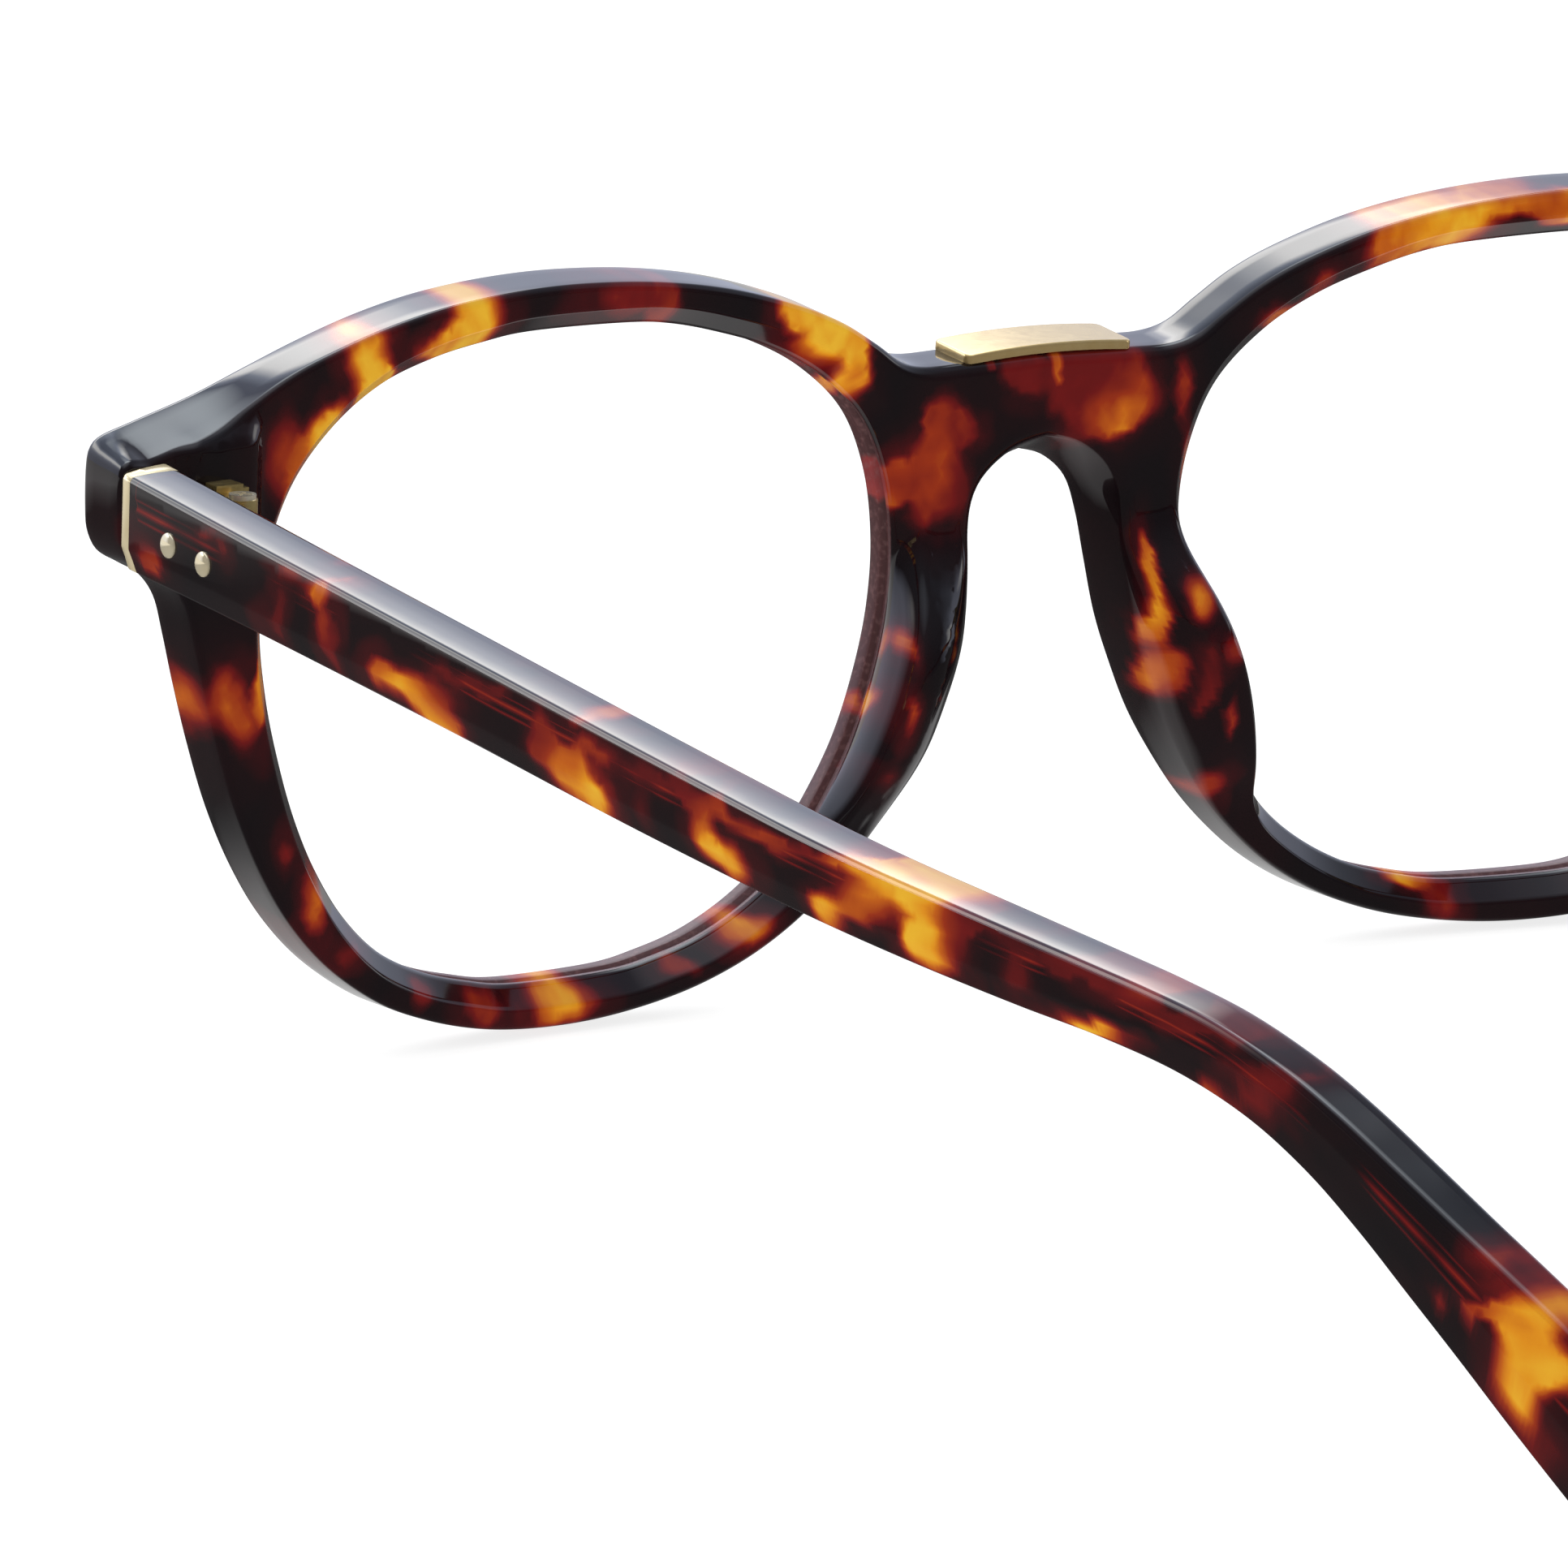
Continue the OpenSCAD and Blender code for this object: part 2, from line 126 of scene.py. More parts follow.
def catmull(points, closed, n=10):
    p = np.array(points, float)
    m = len(p)
    t = (np.arange(n) / n)[:, None]
    out = []
    for i in range(m if closed else m - 1):
        if closed:
            a, b, c, d = (p[(i + k) % m] for k in (-1, 0, 1, 2))
        else:
            a, b, c, d = (p[min(max(i + k, 0), m - 1)] for k in (-1, 0, 1, 2))
        out.append(0.5 * (2 * b + (c - a) * t + (2 * a - 5 * b + 4 * c - d) * t ** 2
                          + (3 * b - a - 3 * c + d) * t ** 3))
    if not closed:
        out.append(p[-1:])
    return np.vstack(out)


def resample(points, step, closed=True):
    p = np.vstack([points, points[:1]]) if closed else points
    s = np.concatenate([[0], np.cumsum(np.linalg.norm(np.diff(p, axis=0), axis=1))])
    n = max(8, int(round(s[-1] / step)))
    u = np.linspace(0, s[-1], n + 1)
    q = np.stack([np.interp(u, s, p[:, k]) for k in range(p.shape[1])], 1)
    return q[:-1] if closed else q


def soften(a):
    """Running mean of a value round a closed outline."""
    return np.convolve(np.concatenate([a[-4:], a, a[:4]]), np.ones(9) / 9, "valid")


def outward(loop):
    """Unit normals of a counter-clockwise loop."""
    v = np.roll(loop, -1, 0) - np.roll(loop, 1, 0)
    v /= np.linalg.norm(v, axis=1)[:, None]
    return np.stack([v[:, 1], -v[:, 0]], 1)


def inside(points, loop):
    x, y = points[:, 0], points[:, 1]
    hit = np.zeros(len(points), bool)
    for (ax, ay), (bx, by) in zip(loop, np.roll(loop, -1, 0)):
        if ay == by:
            continue
        cross = ((ay > y) != (by > y)) & (x < (bx - ax) * (y - ay) / (by - ay) + ax)
        hit ^= cross
    return hit


# ---------------------------------------------------------------- slab
def fill(rings, ids, grid, nose=False):
    """Triangles over the area inside rings[0] and outside the others, with extra points on a grid."""
    edge = np.vstack(rings)
    lo, hi = rings[0].min(0), rings[0].max(0)
    pts, near = [], []
    for size, fine in ((grid, False), (NOSE_GRID, True)):
        if fine and not nose:
            continue
        for k, z in enumerate(np.arange(lo[1], hi[1], size * .87)):
            xs = np.arange(lo[0] + (k % 2) * size / 2, hi[0], size)
            pad = (np.abs(xs) < 19) & (-17 < z < 7) if nose else np.zeros(len(xs), bool)
            xs = xs[pad == fine]
            pts.append(np.stack([xs, np.full(len(xs), z)], 1))
            near += [size * .55] * len(xs)
    pts, near = np.vstack(pts), np.array(near)
    keep = inside(pts, rings[0])
    for r in rings[1:]:
        keep &= ~inside(pts, r)
    pts, near = pts[keep], near[keep]
    tree = kdtree.KDTree(len(edge))
    for i, p in enumerate(edge):
        tree.insert((p[0], p[1], 0), i)
    tree.balance()
    pts = np.array([p for p, gap in zip(pts, near) if tree.find((p[0], p[1], 0))[2] > gap]).reshape(-1, 2)
    allp = np.vstack([edge, pts])
    edges, start = [], 0
    for r in rings:
        n = len(r)
        edges += [(start + i, start + (i + 1) % n) for i in range(n)]
        start += n
    _, _, faces, orig, _, _ = delaunay_2d_cdt([Vector(p) for p in allp], edges, [], 0, 1e-7)
    back = [o[0] for o in orig]
    tri = np.array([[back[i] for i in f] for f in faces])
    mid = allp[tri].mean(1)
    ok = inside(mid, rings[0])
    for r in rings[1:]:
        ok &= ~inside(mid, r)
    tri = tri[ok]
    a, b, c = allp[tri[:, 0]], allp[tri[:, 1]], allp[tri[:, 2]]
    area = (b[:, 0] - a[:, 0]) * (c[:, 1] - a[:, 1]) - (b[:, 1] - a[:, 1]) * (c[:, 0] - a[:, 0])
    tri[area < 0] = tri[area < 0][:, ::-1]
    return pts, tri


def slab(loops, place, grid=GRID):
    """Solid between two faces. loops: (points, into the material, rings); the first is the outline,
    counter-clockwise. A ring is (inset, depth, shift): all may be arrays. place(p, d) gives 3-D."""
    verts, flags, faces = [], [], []
    first, last, first_id, last_id = [], [], [], []
    count = 0
    for number, (points, into, rings) in enumerate(loops):
        n = len(points)
        ring_ids = []
        for ring in rings:
            inset, depth, shift = ring[:3]
            flag = ring[3] if len(ring) > 3 else 0.0
            p = points + into * np.broadcast_to(inset, (n,))[:, None] + shift
            d = np.broadcast_to(depth, (n,)).astype(float)
            verts.append(place(p, d))
            flags.append(np.full(n, flag))
            ring_ids.append(np.arange(count, count + n))
            count += n
            if ring is rings[0]:
                first.append(p)
                first_id.append(ring_ids[-1])
            if ring is rings[-1]:
                last.append(p)
                last_id.append(ring_ids[-1])
        for a, b in zip(ring_ids[:-1], ring_ids[1:]):
            a2, b2 = np.roll(a, -1), np.roll(b, -1)
            quad = np.stack([a, b, b2, a2], 1) if number == 0 else np.stack([a, a2, b2, b], 1)
            faces += quad.tolist()
    for rings, ids, depth_of, flip in ((first, first_id, 0, False), (last, last_id, -1, True)):
        pts, tri = fill(rings, ids, grid, len(loops) > 1 and not flip)
        depths = np.concatenate([np.broadcast_to(l[2][depth_of][1], (len(l[0]),)) for l in loops])
        depth = float(np.mean(depths))
        base = np.concatenate(ids)
        verts.append(place(pts, np.full(len(pts), depth)))
        flags.append(np.zeros(len(pts)))
        lookup = np.concatenate([base, np.arange(count, count + len(pts))])
        count += len(pts)
        tri = lookup[tri]
        faces += (tri[:, ::-1] if flip else tri).tolist()
    return np.vstack(verts), np.concatenate(flags), faces


# ---------------------------------------------------------------- acetate pattern
# noise_vector bends the patches' outlines. Unseeded, it bends them another way in each run.
PATTERN_SEED = 1794989950
noise.seed_set(PATTERN_SEED)

# x, y, z, radius x, y, z, strength. y is left wide, so a patch goes through the whole thickness.
PATCHES = [
    (52.3, 0, 20.0, 1.7, 9, 2.6, 1.0), (51.0, 0, 18.3, 1.6, 9, 1.5, .95),
    (43.8, 0, 22.0, 2.0, 9, 2.6, 1.0), (46.5, 0, 20.2, 2.2, 9, 1.1, .85),
    (31.9, 0, 22.2, 3.2, 9, 1.8, .45), (29.0, 0, 21.5, 1.0, 9, 1.5, .5),
    (16.9, 0, 18.4, 2.3, 9, 2.2, 1.0), (14.6, 0, 15.4, 1.0, 9, 3.0, .85), (19.6, 0, 20.2, 1.2, 9, 1.2, .9),
    (63.4, 0, 0.9, 1.9, 9, 2.3, .72), (61.3, 0, -1.2, 1.5, 9, 2.2, .62), (60.0, 0, 1.0, .7, 9, 2.0, .85),
    (55.6, 0, -12.9, 1.1, 9, 2.4, .75), (57.8, 0, -9.5, .9, 9, 1.3, .45), (52.8, 0, -16.4, 1.6, 9, 1.0, .42),
    (35.9, 0, -21.5, 2.6, 9, 1.8, .86), (41.8, 0, -21.2, 1.9, 9, 1.4, .55), (46.8, 0, -19.9, 1.3, 9, .9, .45),
    (21.5, 0, -18.6, 2.0, 9, 1.1, .8), (26.5, 0, -20.5, 1.5, 9, .7, .5), (58.8, 0, 15.0, 2.0, 9, 2.8, .62),
    (57.2, 0, 12.2, .9, 9, 3.2, .74), (56.0, 0, 15.8, 1.0, 9, 1.8, .95),
    (7.7, 0, 12.4, 1.4, 9, 1.5, .55), (6.4, 0, 11.4, 1.3, 9, 1.2, .45), (8.7, 0, 9.9, 1.5, 9, 1.8, .60),
    (10.6, 0, 8.7, 1.3, 9, 1.1, .5), (8.9, 0, 7.4, 1.2, 9, 1.9, .56), (6.9, 0, 7.6, 1.0, 9, 1.7, .4),
    (-4.4, 0, 11.3, 1.7, 9, 1.3, .8), (-6.4, 0, 12.5, 1.9, 9, 1.5, .62), (-1.0, 0, 14.2, 3.6, 9, 1.6, .42),
    (-2.2, 0, 11.8, 1.7, 9, 2.6, .44), (-5.4, 0, 14.6, 1.4, 9, 1.2, .45), (2.2, 0, 15.0, 1.5, 9, .9, .42),
    (-9.8, 0, 12.7, .7, 9, 2.0, .52), (-10.6, 0, 7.8, .8, 9, 2.2, .66), (-11.0, 0, 3.0, .8, 9, 1.2, .45),
    (-28.2, 0, 21.7, 3.6, 9, 1.9, .92), (-24.6, 0, 20.6, 1.8, 9, 1.6, .66), (-33.0, 0, 23.0, 2.0, 9, 1.0, .7),
    (-17.2, 0, 16.6, 1.9, 9, 1.0, .66), (-20.0, 0, 18.4, 1.4, 9, 1.1, .5), (-36.0, 0, 22.2, 1.6, 9, 1.4, .42),
    (-29.7, 0, -21.2, 1.4, 9, 1.8, .46), (-28.4, 0, -19.6, 2.0, 9, .7, .9),
    (-12.4, 0, -12.4, .8, 9, 1.3, .52),
    (-3.9, 1, -.6, .9, 4, 1.5, .5), (-6.9, 1, 2.4, .5, 4, 1.6, .75), (-7.2, 1, -1.2, .6, 4, 2.1, .85),
    (-8.1, 1, -5.0, .65, 4, 1.5, .9), (-9.7, 1, 0.0, .9, 4, 1.4, .85), (-11.9, 1, -3.3, .8, 4, .7, .66),
    (-10.2, 1, -5.2, .5, 4, 2.0, .5), (-12.0, 1, -8.2, .4, 4, 1.7, .55), (-10.5, 1, -4.0, 2.6, 4, 3.2, .28),
    (12.3, 0, -5.6, .8, 5, 1.5, .85), (11.6, 0, -1.5, .5, 5, 1.2, .66), (11.0, 0, 8.0, .5, 5, 1.9, .66),
    (13.2, 0, -9.4, 1.0, 5, 1.0, .42), (9.0, 0, 12.5, .5, 5, .8, .5),
    (58.9, 0, 9.0, .8, 9, 2.4, .66), (57.7, 0, 13.0, .9, 9, 2.2, .85), (54.7, 0, 16.6, 1.0, 9, 1.5, 1.0),
    (51.4, 0, 18.8, 1.3, 9, .8, 1.0), (60.3, 0, 3.0, .6, 9, 2.6, .8)]
TEMPLE_PATCHES = [
    (11.2, 10.6, 1.1, .7, .72), (10.4, 11.6, 1.8, 1.2, .42), (17.4, 13.9, 1.5, .6, .5),
    (19.4, 12.9, .9, .5, .45), (27.0, 13.3, 1.8, .35, .55), (30.2, 12.7, 1.4, .5, .82),
    (30.6, 11.2, .8, 1.6, .55), (32.0, 9.6, .9, 1.5, .52), (26.0, 11.4, 1.0, 1.4, .4),
    (24.6, 9.7, 1.4, .9, .38), (40.3, 8.6, 3.2, .8, 1.0), (43.2, 7.3, 2.4, .7, .95),
    (37.2, 9.2, 1.5, .9, .6), (44.0, 8.9, 3.4, 1.4, .42), (55.2, 8.9, 1.4, 1.5, .45),
    (59.2, 10.6, 1.3, .5, .72), (61.2, 9.2, 1.8, .5, .62), (58.6, 6.7, 2.2, 1.2, .97),
    (61.6, 5.9, 1.9, .8, .9), (57.5, 8.0, 2.6, 1.2, .55), (73.5, 6.2, 1.6, 1.1, .85),
    (76.6, 5.2, 2.2, 1.1, 1.0), (74.0, 8.0, 2.8, .4, .66), (79.6, 7.5, 3.6, .35, .7),
    (71.5, 8.4, 3.0, 1.0, .4), (86.0, 3.7, 1.6, .9, .95), (89.5, 5.0, 3.2, .7, .8),
    (91.8, 6.9, 3.6, .9, 1.0), (96.2, 5.8, 2.0, 1.9, .95), (96.0, 3.4, 2.0, 1.1, .9),
    (87.5, 7.2, 3.0, .35, .6), (99.4, 5.0, 1.4, 2.0, .45), (95.0, 8.1, 3.4, .6, .9),
    (111.3, 1.7, 2.8, .45, .95), (115.7, 5.3, 1.3, .8, .68), (112.0, 5.2, 3.0, .8, .42),
    (121.8, .4, .9, .5, .75), (118.8, 4.2, 2.6, .6, .42), (127.6, 1.6, 2.0, .7, .45),
    (124.0, 3.9, 1.6, .5, .4), (124.0, -.2, 4.0, .7, .4), (144.5, -8.3, 3.4, .5, .62),
    (148.5, -12.2, 2.2, 2.2, .95), (149.8, -7.9, 2.6, 1.4, .9), (153.0, -10.5, 2.6, 1.1, .9),
    (146.6, -4.8, 1.6, .9, .55), (156.5, -17.5, 1.8, 2.6, .5), (160.8, -20.5, 1.2, 1.4, .8),
    # (50.0, 10.2) and every row after it is a long faint streak at the height of the arm's red lines: more
    # painted reflection of the arm's edges, along parts of the arm.
    (104.5, 3.6, 1.6, 1.2, .36), (66.5, 6.8, 1.3, 1.3, .38), (50.0, 10.2, 2.2, .5, .38),
    (103.0, 6.0, 5.0, .5, .35), (110.5, 5.0, 5.0, .45, .35), (118.0, 4.0, 4.0, .4, .33),
    (125.0, 2.3, 3.5, .35, .3), (66.0, 8.6, 5.0, .5, .38), (82.5, 7.1, 3.0, .6, .38),
    (48.5, 10.5, 4.5, .45, .38)]


def scattered(seed, path, gap, size, strengths):
    """Patches strewn along a path, for the parts that nobody placed by hand."""
    rng = random.Random(seed)
    out, s = [], gap * .4
    lengths = np.concatenate([[0], np.cumsum(np.linalg.norm(np.diff(path, axis=0), axis=1))])
    while s < lengths[-1]:
        c = np.array([np.interp(s, lengths, path[:, k]) for k in range(3)])
        for _ in range(rng.choice((1, 2, 2, 3))):
            o = [rng.gauss(0, size * .8) for _ in range(3)]
            r = [size * rng.uniform(.5, 1.3) for _ in range(3)]
            out.append((*(c + o), *r, rng.choice(strengths)))
        s += gap * rng.uniform(.6, 1.5)
    return out


right_rim = np.array([(-36, 4, 22), (-45, 5, 21.5), (-55, 6, 18), (-66, 7, 13), (-63, 6, 0), (-60, 6, -9),
                      (-54, 5, -16), (-45, 4, -20.5), (-36, 3, -21.6)], float)
right_temple = np.array([(-70, 12, 12.5), (-70, 50, 9), (-70, 90, 5.5), (-68, 115, 3), (-64, 135, -4),
                         (-61, 150, -13), (-59.5, 161, -20)], float)
ALL_PATCHES = list(PATCHES)
for y, z, ry, rz, s in TEMPLE_PATCHES:
    ALL_PATCHES.append((68, y, z, 6 if y < 110 else 12, ry * 1.15, rz * 1.3, s))
ALL_PATCHES += scattered(11, right_rim, 7.5, 1.8, (.5, .7, .9, 1.0, .42))
ALL_PATCHES += scattered(23, right_temple, 8.5, 1.9, (.5, .75, .95, 1.0, .42))
ALL_PATCHES = np.array(ALL_PATCHES)


def heat(points):
    """0 where the acetate is black, 1 where it is yellow. Neighbouring patches run together."""
    p = np.array(points, float)
    warp = np.array([[*noise.noise_vector(Vector(q) * .36)] for q in p]) * .6
    fine = np.array([[*noise.noise_vector(Vector((q[0] * 1.0, q[1] * .6, q[2] * 1.0)) + Vector((7, 3, 9)))]
                     for q in p]) * .24
    q = p + warp + fine
    weight, total, halo = np.zeros(len(p)), np.zeros(len(p)), np.zeros(len(p))
    for x, y, z, rx, ry, rz, s in ALL_PATCHES:
        d2 = (((q[:, 0] - x) / rx) ** 2 + ((q[:, 1] - y) / ry) ** 2 + ((q[:, 2] - z) / rz) ** 2) / 1.25
        near = d2 < 9.0
        if not near.any():
            continue
        d = np.sqrt(d2[near])
        f = 1 - smoothstep(.35, 1.55, d)
        weight[near] += f
        total[near] += f * s
        halo[near] = np.maximum(halo[near], (.14 + .2 * s) * (1 - smoothstep(.9, 2.7, d)))
    h = total / np.maximum(weight, 1e-6) * np.minimum(weight, 1) ** 1.15
    cloud = np.array([noise.noise(Vector((v[0] * .16, v[1] * .09, v[2] * .16)) + Vector((2, 9, 4)))
                      for v in p])
    streak = np.array([noise.noise(Vector((v[0] * 1.2, v[1] * .25, v[2] * .8))) for v in p])
    arm = arm_share(p)
    h = np.maximum(h, halo * (.55 + .9 * np.clip(cloud + .3, 0, 1)) * (1 + .45 * arm))
    h = np.maximum(h, (.12 + .10 * arm) * np.clip(cloud * 2.2 + .25 * arm, 0, 1))
    return np.clip(h * (1 + .12 * streak), 0, 1)


def arm_share(p):
    """1 on the arms, away from the hinges."""
    return smoothstep(50, 57, np.abs(p[:, 0])) * smoothstep(16, 34, p[:, 1])


def arm_level(p):
    """Height on an arm, 0 at its lower edge and 1 at its upper edge, and 0 off the arms."""
    top, low = (np.interp(p[:, 1], *zip(*side)) for side in (TEMPLE_TOP, TEMPLE_BOTTOM[2:][::-1]))
    return np.where(p[:, 1] > 9, np.clip((p[:, 2] - low) / (top - low), 0, 1), 0) * (np.abs(p[:, 0]) > 50)


def bridge_window(p):
    """Colour of the clear red acetate at the bridge, with its two pins showing through."""
    x, z = p[:, 0], p[:, 2]
    right = smoothstep(-7.5, -5.6, x) * (1 - smoothstep(-.2, 1.2, x)) * smoothstep(10.5, 12.5, z)
    left = smoothstep(1.6, 2.2, x) * (1 - smoothstep(3.0, 3.8, x)) * smoothstep(13.4, 14.4, z)
    out = CLEAR_RED * np.maximum(right, left)
    in_bridge = (z < 17) & (np.abs(p[:, 1]) < 4)
    for pin_x, foot, shade in PINS_SEEN:
        streak = shade * (1 - smoothstep(.2, .6, np.abs(x - pin_x))) * smoothstep(foot, foot + .5, z)
        out = np.maximum(out, streak * in_bridge)
    return out


# ---------------------------------------------------------------- materials
def new_material(name):
    m = bpy.data.materials.new(name)
    m.use_nodes = True
    nt = m.node_tree
    bsdf = nt.nodes["Principled BSDF"]
    return m, nt, bsdf


def link(nt, a, b):
    nt.links.new(a, b)


def object_point(nt):
    return nt.nodes.new("ShaderNodeTexCoord").outputs["Object"]


def noise_node(nt, scale, detail, rough, vector):
    """Seedless noise, 0 to 1."""
    n = nt.nodes.new("ShaderNodeTexNoise")
    n.inputs["Scale"].default_value = scale
    n.inputs["Detail"].default_value = detail
    n.inputs["Roughness"].default_value = rough
    link(nt, vector, n.inputs["Vector"])
    return n.outputs["Fac"]


def mix_colour(nt, factor, a, b, blend="MIX"):
    """a and b are sockets or plain colours."""
    m = nt.nodes.new("ShaderNodeMix")
    m.data_type = "RGBA"
    m.blend_type = blend
    link(nt, factor, m.inputs["Factor"])
    for key, value in (("A", a), ("B", b)):
        if isinstance(value, tuple):
            m.inputs[key].default_value = value
        else:
            link(nt, value, m.inputs[key])
    return m.outputs["Result"]


def ramp(nt, source, stops):
    r = nt.nodes.new("ShaderNodeValToRGB")
    els = r.color_ramp.elements
    while len(els) > 1:
        els.remove(els[0])
    els[0].position = stops[0][0]
    els[0].color = stops[0][1]
    for pos, col in stops[1:]:
        e = els.new(pos)
        e.color = col
    link(nt, source, r.inputs[0])
    return r.outputs[0]


def grey(v):
    return (v, v, v, 1)


def math_node(nt, op, a, b=None, c=None, clamp=False):
    n = nt.nodes.new("ShaderNodeMath")
    n.operation = op
    n.use_clamp = clamp
    for k, v in enumerate((a, b, c)):
        if v is None:
            continue
        if hasattr(v, "default_value"):
            link(nt, v, n.inputs[k])
        else:
            n.inputs[k].default_value = v
    return n.outputs[0]


def bump(nt, bsdf, height, strength, distance):
    b = nt.nodes.new("ShaderNodeBump")
    b.inputs["Strength"].default_value = strength
    b.inputs["Distance"].default_value = distance
    link(nt, height, b.inputs["Height"])
    link(nt, b.outputs[0], bsdf.inputs["Normal"])


def attribute(nt, name):
    a = nt.nodes.new("ShaderNodeAttribute")
    a.attribute_name = name
    return a.outputs["Fac"]


def painted_edge_reflections(nt, hot):
    """Fine red lines along the inside of each arm, broken along its length: painted reflection of the arm's
    edges seen inside the acetate.
    """
    level = attribute(nt, "level")
    place = nt.nodes.new("ShaderNodeMapping")
    place.inputs["Scale"].default_value = (20, 60, 20)
    link(nt, object_point(nt), place.inputs["Vector"])
    broken = noise_node(nt, 1.6, 2, .5, place.outputs["Vector"])
    sway = math_node(nt, "MULTIPLY_ADD", broken, .08, -.04)
    on = math_node(nt, "MULTIPLY_ADD", broken, 5.0, -1.8, clamp=True)
    # Height on the arm, sharpness and strength of each painted reflection line.
    for at, width, strength in ((.70, 12.0, .54), (.60, 22.0, .46), (.79, 30.0, .42)):
        away = math_node(nt, "ABSOLUTE", math_node(nt, "SUBTRACT", math_node(nt, "ADD", level, sway), at))
        line = math_node(nt, "MULTIPLY_ADD", away, -width, 1.0, clamp=True)
        line = math_node(nt, "MULTIPLY", math_node(nt, "MULTIPLY", line, on), strength)
        hot = math_node(nt, "MAXIMUM", hot, line)
    return hot


def acetate():
    m, nt, bsdf = new_material("tortoise_acetate")
    pattern = attribute(nt, "amber")
    fine = noise_node(nt, 900, 4, .6, object_point(nt))
    cloud = noise_node(nt, 260, 2, .5, object_point(nt))
    ripple = math_node(nt, "ADD", math_node(nt, "MULTIPLY_ADD", fine, .04, -.02),
                       math_node(nt, "MULTIPLY_ADD", cloud, .14, -.07))
    ripple = math_node(nt, "MULTIPLY", ripple, math_node(nt, "MULTIPLY_ADD", pattern, 1.0, .02))
    # The arm's red lines are added to the pattern here: painted reflection, not colour of the acetate.
    hot = painted_edge_reflections(nt, math_node(nt, "ADD", pattern, ripple, clamp=True))
    hot = math_node(nt, "MAXIMUM", hot, attribute(nt, "window"))
    colour = ramp(nt, hot, [
        (0, (.0060, .0038, .0048, 1)), (.15, (.0110, .0038, .0048, 1)), (.30, (.0480, .0040, .0055, 1)),
        (.45, (.1600, .0075, .0075, 1)), (.60, (.3300, .0320, .0070, 1)), (.74, (.5600, .1200, .0080, 1)),
        (.86, (.7800, .2900, .0120, 1)), (1, (.8700, .4800, .0300, 1))])
    # The lens groove is sawn, not polished: lighter, dusty and rough.
    matte = attribute(nt, "matte")
    speck = noise_node(nt, 2600, 2, .5, object_point(nt))
    dust = ramp(nt, speck, [(.5, (.085, .026, .028, 1)), (.72, (.15, .06, .06, 1))])
    link(nt, mix_colour(nt, matte, colour, dust, "LIGHTEN"), bsdf.inputs["Base Color"])
    rough = math_node(nt, "MULTIPLY_ADD", fine, .04, .03)
    link(nt, math_node(nt, "MULTIPLY_ADD", matte, .4, rough), bsdf.inputs["Roughness"])
    bsdf.inputs["IOR"].default_value = 1.49
    bump(nt, bsdf, noise_node(nt, 120, 2, .4, object_point(nt)), .08, .0003)
    return m


def gold(name, colour, dark, low, high, scale, grain, metallic):
    """Plated metal: colour and roughness drift between two values, with a fine grain if asked."""
    m, nt, bsdf = new_material(name)
    point = object_point(nt)
    drift = noise_node(nt, scale, 5, .6, point)
    link(nt, ramp(nt, drift, [(.3, (*dark, 1)), (.7, (*colour, 1))]), bsdf.inputs["Base Color"])
    link(nt, ramp(nt, drift, [(.25, grey(low)), (.75, grey(high))]), bsdf.inputs["Roughness"])
    bsdf.inputs["Metallic"].default_value = metallic
    if grain:
        bump(nt, bsdf, noise_node(nt, scale * 2.2, 4, .7, point), grain, .00003)
    return m


ACETATE = acetate()
PLATE_GOLD = gold("satin_gold", (.76, .56, .26), (.70, .50, .21), .15, .22, 1200, .10, .72)
PIN_GOLD = gold("pin_gold", (.85, .62, .22), (.72, .50, .15), .22, .34, 900, 0, .7)
HINGE_GOLD = gold("hinge_gold", (.80, .64, .30), (.66, .50, .20), .18, .28, 1100, .15, .85)
SCREW_GOLD = gold("screw_gold", (.97, .92, .78), (.90, .82, .64), .10, .18, 900, 0, .7)
CAP_GOLD = gold("cap_gold", (.86, .74, .48), (.82, .69, .42), .18, .26, 700, .05, .35)
RIVET_GOLD = gold("rivet_gold", (1, .90, .66), (.95, .82, .55), .06, .10, 700, 0, .6)


# ---------------------------------------------------------------- pieces
def make(name, verts, faces, material, body, slot, replaced, matte=None, angle=35, pattern=True):
    """A named piece from vertices in millimetres. The pattern is kept as values on its vertices."""
    verts = np.asarray(verts)
    me = bpy.data.meshes.new(name)
    me.from_pydata((verts * MM).tolist(), [], faces)
    me.validate()
    me.update()
    me.polygons.foreach_set("use_smooth", [True] * len(me.polygons))
    me.set_sharp_from_angle(angle=math.radians(angle))
    if pattern:
        rough = np.zeros(len(verts)) if matte is None else matte
        for key, values in (("amber", heat(verts)), ("matte", rough), ("level", arm_level(verts)),
                            ("window", bridge_window(verts))):
            me.attributes.new(key, "FLOAT", "POINT").data.foreach_set("value", values.astype(np.float32))
    me.materials.append(material)
    o = bpy.data.objects.new(name, me)
    bpy.context.scene.collection.objects.link(o)
    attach(o, body)
    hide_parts(*replaced)
    return o


def mirror_x(verts, faces):
    v = np.array(verts, float)
    v[:, 0] *= -1
    return v, [list(f)[::-1] for f in faces]


def rear_lift(x, z):
    """The endpiece stands a little behind the rim, where the hinge is let in."""
    ax = np.abs(x)
    return (.55 * smoothstep(60.3, 61.7, ax) * (1 - smoothstep(66.0, 67.6, ax))
            * smoothstep(7.0, 9.0, z) * (1 - smoothstep(16.2, 18.2, z)))


def table(rows, column, at):
    dense = catmull(np.array(rows, float)[:, (0, column)], False, 8)
    return np.interp(at, dense[:, 0], dense[:, 1])


def nose_hold(z):
    """1 over the height of the pads."""
    return smoothstep(-16, -12.5, z) * (1 - smoothstep(0, 8.5, z))


